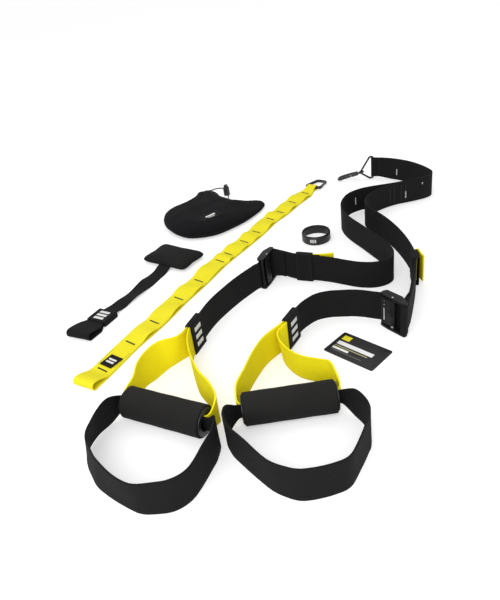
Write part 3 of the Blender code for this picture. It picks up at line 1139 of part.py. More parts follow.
def mesh_bag(root):
    """The packed mesh bag, its sewn label, its drawstring and the cord lock."""
    outline = bag_outline()
    rings = [[(x * scale, y * scale, level * BAG_HEIGHT) for x, y in outline] for level, scale in BAG_LEVEL_SHARES]
    place = Matrix.Translation((*share_place(BAG_MIDDLE_SHARES), 0))
    bag = finish_mesh(loft(rings), "bag_body", BAG_MESH, root, place, sharp_deg=60)
    turn, middle = heading(BAG_LABEL_DEG), share_place(BAG_LABEL_SHARES)
    normal = np.array((-turn[1], turn[0]))
    bm = bmesh.new()
    sheets = []
    for rise in (GAP, GAP + LABEL_THICK):
        sheet = []
        for u in np.linspace(-0.5, 0.5, 6):
            row = []
            for v in np.linspace(-0.5, 0.5, 5):
                spot = middle + turn * u * BAG_LABEL_LENGTH + normal * v * BAG_LABEL_WIDTH
                row.append(bm.verts.new((*spot, bag_height_at(spot) + rise)))
            sheet.append(row)
        sheets.append(sheet)
    for sheet in sheets:
        for one, two in zip(sheet, sheet[1:]):
            for k in range(len(one) - 1):
                bm.faces.new((one[k], one[k + 1], two[k + 1], two[k]))
    rims = [sheet[0] + [row[-1] for row in sheet[1:]] + sheet[-1][-2::-1] + [row[0] for row in sheet[-2:0:-1]]
            for sheet in sheets]
    for k in range(len(rims[0])):
        m = (k + 1) % len(rims[0])
        bm.faces.new((rims[0][k], rims[0][m], rims[1][m], rims[1][k]))
    finish_mesh(bm, "bag_label", LABEL, root)
    mouth_height, hole_height = BAG_HEIGHT * 0.4, LOCK_CORD_HEIGHT
    heights = (mouth_height, mouth_height, CORD_R * 2.2, CORD_R, CORD_R, hole_height * 0.5, hole_height, hole_height,
               hole_height, hole_height * 0.4)
    rows = [(*share_place(spot), z) for spot, z in zip(CORD_ROUTE_SHARES, heights)]
    cord = smooth_rows(rows, 8)
    step = np.linalg.norm(np.diff(cord, axis=0), axis=1)
    run = np.concatenate(([0.0], np.cumsum(step)))
    even = np.linspace(0, run[-1], int(run[-1] / (CORD_R * 4)))
    points = np.stack([np.interp(even, run, cord[:, k]) for k in range(3)], axis=1)
    points[:, 2] = np.maximum(points[:, 2], CORD_R)
    wire("bag_drawstring", points, CORD_R, WEBBING_BLACK, parent=root)
    lead = points[0] + (points[0] - points[1]) * 0.15
    hole = wire("mouth_bore", [lead, *points[:8]], CORD_R + 2 * GAP, BAG_MESH, parent=root)
    combine(bag, [hole], "DIFFERENCE")


def cord_lock(root):
    """The cord lock: barrel with a cross hole, sprung button with a longer cross slot, and the spring."""
    seat = add_empty("lock_seat", root, flat_place(LOCK_SHARES, 0.0))
    edge = LOCK_WALL * 0.5
    profile = [(0.0, 0.0), (0.0, LOCK_R - edge), (edge, LOCK_R), (LOCK_HEIGHT - edge, LOCK_R),
               (LOCK_HEIGHT, LOCK_R - edge), (LOCK_HEIGHT, LOCK_BUTTON_R + GAP), (LOCK_WALL, LOCK_BUTTON_R + GAP),
               (LOCK_WALL, 0.0)]
    body = finish_mesh(turned(profile, 24, "Z"), "cord_lock_body", PLASTIC, seat)
    across = Matrix.Rotation(math.pi / 2, 4, "Z")
    hole = rod("cord_hole", 4 * LOCK_R, CORD_R + 2 * GAP, PLASTIC, 12, seat,
               Matrix.Translation((0, 0, LOCK_CORD_HEIGHT)) @ across, 0.05)
    combine(body, [hole], "DIFFERENCE")
    low, high = LOCK_CORD_HEIGHT - 3 * CORD_R, LOCK_HEIGHT + LOCK_BUTTON_RISE
    profile = [(0.0, 0.0), (0.0, LOCK_BUTTON_R), (high - low - edge, LOCK_BUTTON_R), (high - low, LOCK_BUTTON_R - edge),
               (high - low, 0.0)]
    axis = add_empty("lock_button_axis", seat, Matrix.Translation((0, 0, low)))
    button = finish_mesh(turned(profile, 24, "Z"), "cord_lock_button", PLASTIC, axis)
    clear = CORD_R + 2 * GAP
    slot = box_outline(-clear, LOCK_CORD_HEIGHT - low - clear, clear, LOCK_CORD_HEIGHT - low + clear + LOCK_TRAVEL,
                       clear * 0.8, 3)
    bm = loft([[(x, y, z) for x, z in slot] for y in (-2 * LOCK_R, 2 * LOCK_R)])
    combine(button, [finish_mesh(bm, "button_slot", PLASTIC, axis)], "DIFFERENCE")
    rise = low - LOCK_WALL - 2 * GAP - 2 * LOCK_WIRE_R
    points = coil_points(LOCK_BUTTON_R - 3 * GAP - LOCK_WIRE_R, rise / LOCK_SPRING_TURNS, LOCK_SPRING_TURNS, 10)
    wire("cord_lock_spring", points, LOCK_WIRE_R, STEEL, resolution=1, parent=seat,
         place=Matrix.Translation((0, 0, LOCK_WALL + GAP + LOCK_WIRE_R)))


def band_and_card(root):
    """The moulded wristband and the card."""
    belly = BAND_WALL * 0.3
    inner = BAND_R - BAND_WALL
    profile = [(0.0, inner + belly), (0.0, BAND_R - belly), (belly * 2, BAND_R - belly / 3),
               (BAND_HEIGHT / 2, BAND_R), (BAND_HEIGHT - belly * 2, BAND_R - belly / 3), (BAND_HEIGHT, BAND_R - belly),
               (BAND_HEIGHT, inner + belly), (BAND_HEIGHT / 2, inner)]
    finish_mesh(turned(profile, 40, "Z"), "wristband", RUBBER, root, flat_place(BAND_SHARES, 0.0))
    card = box_outline(-CARD_LENGTH / 2, -CARD_WIDTH / 2, CARD_LENGTH / 2, CARD_WIDTH / 2, CARD_CORNER, 4)
    finish_mesh(extrude_outline(card, 0.0, CARD_THICK), "card", CARD_FACE, root, flat_place(CARD_SHARES, CARD_DEG))


def centre_set(root):
    """Moves the whole layout so that its box, without the free cord and its lock, is centred and stands on z = 0."""
    bpy.context.view_layer.update()
    held = [piece for piece in bpy.data.objects if piece.type == "MESH" and not piece.name.startswith(CORD_PIECES)]
    spots = [piece.matrix_world @ vertex.co for piece in held for vertex in piece.data.vertices]
    low = [min(spot[k] for spot in spots) for k in range(3)]
    high = [max(spot[k] for spot in spots) for k in range(3)]
    root.location = Vector((-(low[0] + high[0]) / 2, -(low[1] + high[1]) / 2, -low[2]))
    bpy.context.view_layer.update()


def main():
    clear_scene()
    root = add_empty("layout")
    anchor_sling("anchor_sling", root)
    top_end(root)
    for side_name, side in SIDES.items():
        main_strap(side_name + "_main_strap", side, root)
        lower_strap(side_name + "_lower_strap", side, root)
        keeper(side_name + "_keeper", side, root)
        pull_tab(side_name + "_pull_tab", side, root)
        make_buckle(side_name, side, root)
        label_sleeve(side_name + "_label_sleeve", side, root)
        yellow_sling(side_name + "_yellow_sling", side, root)
        make_grip(side_name, side, root)
        foot_cradle(side_name + "_foot_cradle", side, root)
    anchor_strap(root)
    door_anchor(root)
    mesh_bag(root)
    cord_lock(root)
    band_and_card(root)
    centre_set(root)


main()
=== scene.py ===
from functools import partial
from math import acos, asin, atan2, copysign, cos, pi, radians, sin, tan

import bmesh
import bpy
import numpy as np
from bpy.props import FloatProperty, FloatVectorProperty, PointerProperty
from bpy.types import Operator, Panel, PropertyGroup, Scene
from mathutils import Matrix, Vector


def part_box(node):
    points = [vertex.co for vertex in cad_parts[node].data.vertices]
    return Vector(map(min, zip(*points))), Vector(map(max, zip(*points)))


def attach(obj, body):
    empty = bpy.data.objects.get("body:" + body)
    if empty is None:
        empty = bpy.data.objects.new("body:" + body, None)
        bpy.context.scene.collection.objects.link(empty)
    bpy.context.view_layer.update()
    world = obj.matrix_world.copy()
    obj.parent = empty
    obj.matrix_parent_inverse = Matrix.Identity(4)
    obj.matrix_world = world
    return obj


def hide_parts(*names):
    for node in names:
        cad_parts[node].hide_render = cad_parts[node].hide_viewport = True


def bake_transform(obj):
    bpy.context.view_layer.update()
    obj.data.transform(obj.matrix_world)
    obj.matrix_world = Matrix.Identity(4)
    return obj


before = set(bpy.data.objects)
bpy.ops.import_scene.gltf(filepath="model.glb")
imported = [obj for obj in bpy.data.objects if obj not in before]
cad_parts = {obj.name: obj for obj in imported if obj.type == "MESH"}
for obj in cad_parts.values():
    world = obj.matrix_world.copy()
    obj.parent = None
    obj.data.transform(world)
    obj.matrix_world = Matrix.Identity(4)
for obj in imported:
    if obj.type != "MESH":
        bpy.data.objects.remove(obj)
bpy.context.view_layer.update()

bl_info = {
    "name": "Suspension trainer set",
    "version": (1, 0, 0),
    "blender": (4, 5, 0),
    "location": "3D View > Sidebar > Trainer",
    "description": "Dresses a suspension trainer: webbing, foam grips, buckles, clips, anchors, bag, band and card",
    "category": "Object",
}

# Sizes in metres that the dressed pieces share with the solids under them
GAP = 0.0003
WEB_WIDTH = 0.050
WEB_THICK = 0.0022
SEWN_TAIL = 0.026
SLEEVE_LENGTH = 0.037
SLEEVE_WALL = 0.0013
SLEEVE_RISE = SLEEVE_WALL + GAP
KEEPER_LENGTH = 0.030
KEEPER_SLACK = 0.0012
TAB_LENGTH = 0.034
TAB_PEEL = 0.016
TAIL_PAST_BAR = 0.027
PITCH = WEB_THICK + GAP
HALF_PITCH = PITCH / 2

BUCKLE_LENGTH = 0.041
BUCKLE_BAR_R = 0.0030
CAM_PIN_R = 0.0016
CAM_R = 0.0054
CAM_WIRE = 0.0008
CAM_TURNS = 3
LOOP_R = BUCKLE_BAR_R + GAP + WEB_THICK / 2
STRAP_LINE = -(LOOP_R + PITCH)
BUCKLE_HALF_GAP = WEB_WIDTH / 2 + 2 * GAP
BUCKLE_HALF_WIDTH = BUCKLE_HALF_GAP + 0.0040
BUCKLE_RISE = BUCKLE_HALF_WIDTH - WEB_WIDTH / 2
FIXED_BAR_X = 0.46 * BUCKLE_LENGTH
END_BAR_X = -0.54 * BUCKLE_LENGTH
CAM_PIN_X = -0.08 * BUCKLE_LENGTH
CAM_PIN_Y = STRAP_LINE + WEB_THICK / 2 + GAP + CAM_R

GRIP_LENGTH = 0.120
GRIP_R = 0.022
GRIP_BORE_R = 0.0163
TUBE_R = 0.0160
TUBE_BORE_R = 0.0138
CAP_FLANGE_R = 0.0190
CAP_FLANGE = 0.0016
CAP_WALL = 0.0012
CAP_DEPTH = 0.009
TUCK_HEIGHT = 0.0215

RING_ROD_R = 0.0022
RING_REACH = 0.029
RING_CORNER = 0.0040
RING_LOOP_R = RING_ROD_R + GAP + WEB_THICK / 2
RING_WEB_FOOT = RING_ROD_R + RING_CORNER * 0.85
RING_WEB_HEAD = RING_WEB_FOOT + 0.90 * WEB_WIDTH
RING_TOP = RING_WEB_HEAD + RING_CORNER * 0.85
RING_APEX = 0.36 * RING_TOP
EYE_ROD_R = 0.0020
EYE_R = RING_ROD_R + 0.0012 + EYE_ROD_R
BARREL_X = EYE_R + EYE_ROD_R + 2 * GAP
BARREL_LENGTH = 0.009
BARREL_R = 0.0052
BARREL_BORE_R = 0.0023
SHANK_R = 0.0020
RIVET_R = 0.0034
RIVET_HEAD = 0.0018
HOOK_LENGTH = 0.047
HOOK_WIDTH = 0.025
HOOK_ROD_R = 0.0030
HOOK_CORNER = 0.0085

ANCHOR_WIDTH = 0.039
ANCHOR_NECK = 0.022
ANCHOR_THICK = 0.0018
ANCHOR_RIPPLE = 0.0035
ANCHOR_EYE_R = 0.0060
PATCH_SIDE = 0.026
CARABINER_LENGTH = 0.050
CARABINER_BASE = 0.046
CARABINER_TIP = 0.030
CARABINER_ROD_R = 0.0034
CARABINER_CORNER = 0.0062
ANCHOR_ROD_LOOP = CARABINER_ROD_R + GAP + ANCHOR_THICK / 2

PAD_LENGTH = 0.096
PAD_WIDTH = 0.058
PAD_HEIGHT = 0.020
PAD_CORNER = 0.009
DOOR_WIDTH = 0.029
DOOR_LOOP_WIDTH = 0.040
DOOR_THICK = 0.0020
DOOR_PITCH = DOOR_THICK + GAP
DOOR_LOOP_R = 0.0060
DOOR_SLEEVE_LENGTH = 0.034
POCKET_DEPTH = 0.009

BAG_HEIGHT = 0.030
CORD_R = 0.0013
LOCK_HOLE = 0.65 * 0.020
MOUTH = 0.4 * BAG_HEIGHT
BAND_R = 0.0285
BAND_WALL = 0.0022
BAND_HEIGHT = 0.0185
CARD_SIZE = (0.0856, 0.0540)
CARD_THICK = 0.0010
CARD_CORNER = 0.0032

# Cloth that stands out a little past its solid, and folds
PAD_SPREAD = 0.0065
DOOR_SPREAD = 0.008
FOLD_R = 0.0031
FOLD_FLARE = 0.0050
WAVE = 0.0003
TEXTURE_SCALE = 100
SHARP_DEG = 50.0
PAD_RIM = 0.42
FLOOR_REACH = 20.0
FLOOR_LEVEL = -0.0003
FLOOR_GLOW = 0.42

# A woven label's finishes: its cloth, the stitches round it and its light bars
LABEL = ["label", "black_thread", "light_thread"]
# The cam lever's slots in shares of its width, and the axes and the rings, as (scale, height), of the bright steel
# inlay in each: a painted highlight for the glint at the slot
LEVER_SLOTS = ((0.38, 0.90), (0.22, 0.30), (0.09, 0.15))
GLINT_INLAY_TURN = Matrix(((0, 1, 0, 0), (0, 0, 1, 0), (1, 0, 0, 0), (0, 0, 0, 1)))
GLINT_INLAY_LEVELS = ((0.0, 0.0), (1.0, 0.0), (1.0, 0.0006), (0.8, 0.0008), (0.0, 0.0008))
PATCH_LEVELS = ((1.0, 0.0), (1.0, 0.0006), (0.97, 0.0009), (0.90, 0.0010), (0.5, 0.0010), (0.0, 0.0010))
CARD_LEVELS = (
    (0.0, 0.0), (0.995, 0.0), (1.0, 0.00012), (1.0, CARD_THICK - 0.00012), (0.997, CARD_THICK), (0.6, CARD_THICK),
    (0.0, CARD_THICK))

# Threads: the zigzag's step, the share of a stitch that shows, and its form as (share along, girth, height)
ZIGZAG_STEP = 0.00062
STITCH_SHOWN = 0.72
STITCH_FORM = ((0.0, 0.25, -0.6), (0.12, 0.85, 0.25), (0.5, 1.0, 0.55), (0.88, 0.85, 0.25), (1.0, 0.25, -0.6))
EDGE_PITCH = 0.0024
# Bar tacks: the light ones' width along the strap, and the length across and the width of each kind of dark one
LIGHT_TACK = 0.0030
FORK_LENGTH, FORK_BAR = 0.036, 0.0016
LOOP_LENGTH, LOOP_BAR = 0.040, 0.0014
HEM_LENGTH, HEM_BAR = 0.038, 0.0013
# Broken edges of cast and of small parts
CAST_BEVEL = 0.00045
FINE_BEVEL = 0.0002
UP = np.array((0.0, 0.0, 1.0))

# Places in the layout, in metres, and headings in degrees
RING_BAR = (0.337, 1.319)
RING_DEG = 180.0
HOOK_DEG = 158.0
SLING_ROUTE = [
    (0.352, 1.313), (0.367, 1.302), (0.387, 1.283), (0.406, 1.259), (0.420, 1.230), (0.428, 1.203), (0.430, 1.184),
    (0.423, 1.168), (0.407, 1.159), (0.384, 1.154), (0.362, 1.151), (0.345, 1.149)]
# Bar tacks: (running length, share of the height, length)
SLING_TACKS = [(0.058, 0.38, 0.015), (0.2185, 0.74, 0.004), (0.2555, 0.38, 0.015)]
STRAND_TACKS = [(0.093, 0.5, 0.015)]
# Each side's routes; a row is (x, y), or (x, y, foot, head, lean) in shares of the width, and a bend is
# (share of the length, x, y)
SIDES = {
    "left": {
        "strand": [
            (0.320, 1.148), (0.296, 1.148), (0.268, 1.145), (0.240, 1.131), (0.221, 1.106), (0.210, 1.076),
            (0.209, 1.046), (0.216, 1.010), (0.229, 0.970), (0.243, 0.925), (0.253, 0.887), (0.254, 0.860),
            (0.247, 0.841), (0.232, 0.831), (0.212, 0.829), (0.190, 0.836), (0.170, 0.849), (0.147, 0.866),
            (0.123, 0.880), (0.103, 0.889), (0.086, 0.898), (0.068, 0.910)],
        "ply": -1.0,
        "buckle": (0.042, 0.903),
        "buckle_deg": 63.0,
        "keeper_from_bar": 0.061,
        "tail_turn": [(0.300, None), (0.120, None)],
        "lower": [
            (0.015, 0.878), (-0.005, 0.860), (-0.024, 0.840), (-0.041, 0.819), (-0.057, 0.797), (-0.070, 0.775)],
        "sleeve": (-0.0895, 0.735),
        "sleeve_deg": -116.6,
        "grip": (-0.1305, 0.575),
        "grip_deg": -30.1,
        "near_branch": [
            (-0.117, 0.705, 0.0, 1.0, 0.1), (-0.135, 0.690, 0.0, 0.94, -0.22), (-0.152, 0.669, 0.02, 0.95, -0.22),
            (-0.167, 0.649, 0.08, 0.97, -0.05)],
        "far_branch": [
            (-0.072, 0.586, 0.12, 0.90, -0.10), (-0.086, 0.618, 0.06, 0.95, -0.05), (-0.094, 0.655, 0.02, 0.98),
            (-0.0985, 0.690)],
        "cradle": [
            (-0.208, 0.591, 0.0, 0.95, 0.15), (-0.2245, 0.570, 0.0, 0.97, 0.26), (-0.2330, 0.543, 0.0, 0.97, 0.30),
            (-0.2265, 0.513, 0.0, 0.98, 0.17), (-0.213, 0.485, 0.0, 1.0, 0.12), (-0.193, 0.460, 0.0, 1.0, 0.05),
            (-0.170, 0.442), (-0.149, 0.432), (-0.126, 0.430), (-0.104, 0.440), (-0.086, 0.459), (-0.074, 0.483),
            (-0.0655, 0.505), (-0.0635, 0.523, 0.0, 0.98)],
        "bends": [
            (0.289, -0.2265, 0.5150), (0.379, -0.2119, 0.4824), (0.560, -0.1545, 0.4335), (0.659, -0.1150, 0.4309),
            (0.706, -0.0965, 0.4425), (0.808, -0.0762, 0.4814), (0.866, -0.0645, 0.5020)],
    },
    "right": {
        "strand": [
            (0.322, 1.142), (0.298, 1.130), (0.274, 1.111), (0.260, 1.088), (0.255, 1.062), (0.261, 1.036),
            (0.272, 1.002), (0.281, 0.960), (0.286, 0.905), (0.285, 0.860), (0.278, 0.822), (0.266, 0.788),
            (0.254, 0.758), (0.242, 0.730), (0.231, 0.706)],
        "ply": 1.0,
        "buckle": (0.209, 0.704),
        "buckle_deg": -56.5,
        "keeper_from_bar": 0.160,
        "tail_turn": [(0.165, -0.400), (0.205, -0.285), (0.160, -0.205), (0.065, None)],
        "lower": [
            (0.185, 0.743), (0.163, 0.754), (0.142, 0.759), (0.122, 0.762), (0.102, 0.759), (0.086, 0.749),
            (0.074, 0.738)],
        "sleeve": (0.0555, 0.712),
        "sleeve_deg": -123.7,
        "grip": (0.031, 0.557),
        "grip_deg": 0.0,
        "near_branch": [(0.028, 0.684), (0.010, 0.666), (-0.007, 0.637, 0.02, 1.0), (-0.021, 0.606, 0.06, 0.96)],
        "far_branch": [
            (0.0915, 0.6010, 0.09, 0.88), (0.078, 0.6085, 0.06, 0.88), (0.056, 0.625, 0.02, 0.88, 0.05),
            (0.041, 0.652, 0.0, 0.90, 0.10), (0.037, 0.676, 0.0, 0.95, 0.10)],
        "cradle": [
            (-0.049, 0.543, 0.0, 0.90), (-0.0535, 0.524, 0.0, 0.96), (-0.048, 0.503), (-0.034, 0.477),
            (-0.014, 0.451), (0.005, 0.433), (0.025, 0.421), (0.043, 0.416), (0.062, 0.418), (0.081, 0.429),
            (0.098, 0.451), (0.112, 0.473), (0.120, 0.496), (0.119, 0.518, 0.0, 0.96), (0.111, 0.538, 0.0, 0.90)],
        "bends": [
            (0.174, -0.0520, 0.5070), (0.379, -0.0037, 0.4360), (0.451, 0.0216, 0.4196), (0.605, 0.0801, 0.4276),
            (0.769, 0.1164, 0.4838)],
    },
}
# How the webbing turns into a grip's end: (along and across in grip radii, share by which it is open)
SLING_TURN = ((0.22, 1.16, 0.75), (0.31, 0.72, 0.45), (0.30, 0.24, 0.15), (0.14, 0.03, 0.0))
CRADLE_TURN = ((-0.35, -1.0, 0.0), (0.12, -1.0, 0.0), (0.36, -1.3, 0.08))
ANCHOR_ROUTE = [
    (-0.2570, 0.679), (-0.238, 0.708), (-0.201, 0.769), (-0.164, 0.821), (-0.127, 0.882), (-0.089, 0.938),
    (-0.050, 1.000), (0.004, 1.070), (0.036, 1.113), (0.066, 1.159), (0.097, 1.194), (0.129, 1.237), (0.160, 1.273),
    (0.188, 1.306)]
ANCHOR_TACKS = [0.036, 0.107, 0.169, 0.245, 0.309, 0.387, 0.417, 0.473, 0.520, 0.585, 0.623, 0.679, 0.735]
TACK_LEAN = 0.17
PATCH_AT = 0.065
DOOR_PAD = (-0.139, 1.043)
DOOR_PAD_DEG = -38.5
DOOR_ROUTE = [
    (-0.1485, 1.0245), (-0.157, 1.011), (-0.173, 0.985), (-0.193, 0.951), (-0.212, 0.922), (-0.234, 0.893),
    (-0.262, 0.850), (-0.288, 0.812), (-0.2915, 0.8060)]
DOOR_SLEEVE_AT = 0.200
BAG_OUTLINE = [
    (-0.056, 1.340), (-0.085, 1.347), (-0.096, 1.317), (-0.119, 1.291), (-0.150, 1.270), (-0.165, 1.245),
    (-0.165, 1.215), (-0.155, 1.178), (-0.134, 1.144), (-0.112, 1.124), (-0.082, 1.117), (-0.048, 1.121),
    (-0.012, 1.143), (0.014, 1.165), (0.036, 1.190), (0.057, 1.222), (0.065, 1.246), (0.060, 1.262), (0.046, 1.264),
    (0.028, 1.258), (0.006, 1.260), (-0.018, 1.280), (-0.036, 1.306)]
BAG_MIDDLE = np.array((-0.056, 1.226))
# The bag's rings from the floor's middle to the top's: (level, scale)
BAG_LEVELS = (
    (0.0, 0.0), (0.0, 0.90), (0.10, 0.965), (0.32, 1.0), (0.58, 0.985), (0.80, 0.90), (0.93, 0.74), (0.985, 0.50),
    (1.0, 0.25), (1.005, 0.0))
# The bag's folds: (start, end, width, height)
BAG_FOLDS = [
    ((-0.078, 1.326), (-0.112, 1.262), 0.0050, 0.0016), ((-0.070, 1.322), (-0.082, 1.245), 0.0045, -0.0012),
    ((-0.062, 1.318), (-0.046, 1.246), 0.0055, 0.0014), ((-0.050, 1.312), (-0.012, 1.252), 0.0050, -0.0011),
    ((-0.120, 1.262), (-0.146, 1.206), 0.0070, -0.0010), ((-0.030, 1.262), (0.030, 1.226), 0.0080, 0.0012),
    ((0.020, 1.250), (0.052, 1.250), 0.0060, -0.0013), ((-0.130, 1.170), (-0.060, 1.142), 0.0090, 0.0009),
    ((-0.040, 1.150), (0.010, 1.180), 0.0085, -0.0009)]
BAG_SEAMS = [
    [(-0.106, 1.300), (-0.090, 1.312), (-0.066, 1.316), (-0.044, 1.304)],
    [(-0.108, 1.296), (-0.091, 1.308), (-0.066, 1.312), (-0.042, 1.299)]]
BAG_LABEL = (-0.059, 1.169)
BAG_LABEL_DEG = 32.0
BAG_LABEL_SIZE = (0.050, 0.028)
# The drawstring: the solid's own points, past the lock at LOCK, and then the strand that goes back into the mouth
DRAWSTRING = [
    (-0.074, 1.344, MOUTH), (-0.071, 1.364, MOUTH), (-0.058, 1.388, CORD_R * 2.2), (-0.041, 1.399, CORD_R),
    (-0.025, 1.394, CORD_R), (-0.018, 1.380, LOCK_HOLE * 0.5), (-0.018, 1.362, LOCK_HOLE), (-0.018, 1.350, LOCK_HOLE),
    (-0.018, 1.338, LOCK_HOLE), (-0.015, 1.324, LOCK_HOLE * 0.4), (-0.019, 1.3145, CORD_R * 1.3),
    (-0.028, 1.3135, CORD_R), (-0.0345, 1.322, CORD_R), (-0.0365, 1.336, CORD_R), (-0.0395, 1.352, CORD_R * 1.4),
    (-0.0465, 1.3645, 0.005), (-0.0565, 1.3660, 0.009), (-0.0630, 1.357, MOUTH), (-0.0640, 1.345, MOUTH),
    (-0.0630, 1.333, MOUTH)]
BAND = (0.150, 1.043)
BAND_MARKS_DEG = (-121.0, -112.0, -103.0)
CARD = (0.145, 0.6685)
CARD_DEG = -48.4
# The card's print: (left, right, low, high, colour) in shares of its face
CARD_MARKS = [
    (0.075, 0.235, 0.68, 0.88, (0.80, 0.70, 0.02)), (0.075, 0.80, 0.45, 0.60, (0.82, 0.82, 0.82)),
    (0.075, 0.74, 0.36, 0.395, (0.42, 0.40, 0.18)), (0.075, 0.40, 0.24, 0.32, (0.85, 0.85, 0.83)),
    (0.075, 0.70, 0.17, 0.20, (0.12, 0.12, 0.11))]


def layout_offset():
    """The step from the layout to the model's frame: the card's middle in the model less its place in the layout."""
    low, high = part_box("card")
    return np.array(((low.x + high.x) / 2 - CARD[0], (low.y + high.y) / 2 - CARD[1], 0.0))


OFFSET = layout_offset()


def heading(degrees):
    """The unit plan vector of a heading."""
    return np.array((cos(radians(degrees)), sin(radians(degrees))))


def ramp(value, low, high):
    """A smooth step from 0 at low to 1 at high: 3t^2 - 2t^3 of the clipped share t."""
    t = np.clip((value - low) / (high - low), 0, 1)
    return t * t * (3 - 2 * t)


def unit(vectors):
    """Vectors scaled to a length of one."""
    return vectors / np.linalg.norm(vectors, axis=-1, keepdims=True)


def running(points):
    """The running length at each point of a line: the cumulated lengths of its steps."""
    return np.concatenate(([0.0], np.cumsum(np.linalg.norm(np.diff(points, axis=0), axis=1))))


def distances(rows):
    """The running length along the plan line."""
    return running(rows[:, :2])


def read_at(places, run, points):
    """A line's points at some running lengths: each coordinate is read between its neighbours."""
    return np.stack([np.interp(places, run, column) for column in points.T], axis=1)


def smooth_rows(rows, per_span=14, lead=0):
    """A cubic curve through the rows, with the slope at each row from its neighbours."""
    rows = np.array(rows, float)
    chord = np.linalg.norm(np.diff(rows[:, :2], axis=0), axis=1)
    knots = np.concatenate(([0.0], np.cumsum(np.sqrt(chord))))
    slopes = np.gradient(rows, knots, axis=0)
    u = np.linspace(0, 1, per_span, endpoint=False)[:, None]
    out = []
    for i in range(lead, len(rows) - 1):
        width = knots[i + 1] - knots[i]
        out.append((2 * u ** 3 - 3 * u ** 2 + 1) * rows[i] + (u ** 3 - 2 * u ** 2 + u) * width * slopes[i]
                   + (3 * u ** 2 - 2 * u ** 3) * rows[i + 1] + (u ** 3 - u ** 2) * width * slopes[i + 1])
    return np.concatenate((*out, rows[-1:]))


def with_normals(rows):
    """Adds each row's left-hand plan normal: rows are (x, y, foot, head, lean, normal x, normal y)."""
    tangent = unit(np.gradient(rows[:, :2], axis=0))
    return np.column_stack((rows[:, :5], -tangent[:, 1], tangent[:, 0]))


def at(x, y, foot_share=0.0, head_share=1.0, lean_share=0.0):
    """A row of a strap on edge: its place, and its two edges and lean in shares of the webbing's width."""
    return (x, y, SLEEVE_RISE + foot_share * WEB_WIDTH, SLEEVE_RISE + head_share * WEB_WIDTH, lean_share * WEB_WIDTH)


def all_at(spots):
    """Rows at a list of places."""
    return [at(*spot) for spot in spots]


def shifted(rows, offset):
    """Rows moved along their normals by an offset, a number or one for each row."""
    rows = rows.copy()
    rows[:, :2] += rows[:, 5:7] * np.reshape(offset, (-1, 1))
    return rows


def backwards(rows):
    """Rows run through the other way."""
    rows = rows[::-1].copy()
    rows[:, 4:7] *= -1
    return rows


def turn_rows(centre, radius, start, sweep, row, steps=25):
    """Rows on an arc in plan: the centre plus the radius times the cosine and sine of the turning angle."""
    angles = start + sweep * np.linspace(0, 1, steps)
    out = np.tile(np.array(row, float), (steps, 1))
    radial = np.stack((np.cos(angles), np.sin(angles)), axis=1)
    out[:, :2] = np.array(centre) + radius * radial
    out[:, 5:7] = -radial * copysign(1, sweep)
    return out


def end_travel(rows):
    """The direction of travel at the end of a line, as an angle."""
    return atan2(rows[-1, 6], rows[-1, 5]) - pi / 2


def eye_offsets(from_eye, outer):
    """How far a ply stands from the centre line: outer at the eye, half a pitch past four times as far."""
    return HALF_PITCH + (outer - HALF_PITCH) * (1 - ramp(from_eye, 0, 4 * outer))


def buckle_axes(side):
    """A buckle's own X and Y in plan."""
    x_axis = heading(side["buckle_deg"])
    return x_axis, np.array((x_axis[1], -x_axis[0]))


def buckle_plan(side, x, y):
    """The plan place of a point in a buckle's own X and Y."""
    x_axis, y_axis = buckle_axes(side)
    return np.array(side["buckle"]) + x * x_axis + y * y_axis


def lift_at_buckle(rows, side):
    """Raises a strap to the middle of the buckle's frame near the buckle."""
    rows = rows.copy()
    away = np.linalg.norm(rows[:, :2] - np.array(side["buckle"]), axis=1)
    rise = (BUCKLE_RISE - SLEEVE_RISE) * (1 - ramp(away, 0.5 * BUCKLE_LENGTH, 1.15 * BUCKLE_LENGTH))
    rows[:, 2:4] += rise[:, None]
    return rows


def strand_line(side):
    """The centre line of a main strap from the fork to its buckle, and its distances from the fixed bar."""
    rows = all_at((*SLING_ROUTE[-2:], *side["strand"], buckle_plan(side, FIXED_BAR_X, 0)))
    line = with_normals(smooth_rows(rows, lead=1))
    run = distances(line)
    return line, run[-1] - run


def tail_offset(side, from_bar):
    """Where the lower strap's free tail runs beside the main strap."""
    beside = -HALF_PITCH - PITCH
    if side["ply"] > 0:
        beside = beside + PITCH * ramp(from_bar, SEWN_TAIL + GAP, 1.6 * SEWN_TAIL)
    return beside - (LOOP_R - HALF_PITCH) * (1 - ramp(from_bar, 0, 4 * LOOP_R))


def tab_offset(side, from_bar):
    """Where the pull tab lies against the straps."""
    if side["ply"] < 0:
        return tail_offset(side, from_bar) - PITCH
    return HALF_PITCH + PITCH + 0 * from_bar


def tucked(side, along, across, open_share=0.0):
    """A row of webbing at a place along and across a grip, drawn in to the tuck height."""
    half = (TUCK_HEIGHT + open_share * (WEB_WIDTH - TUCK_HEIGHT)) / 2
    low = max(SLEEVE_RISE, GRIP_R - half)
    axis = heading(side["grip_deg"])
    spot = np.array(side["grip"]) + along * axis + across * np.array((-axis[1], axis[0]))
    return (*spot, low, low + 2 * half, 0.0)


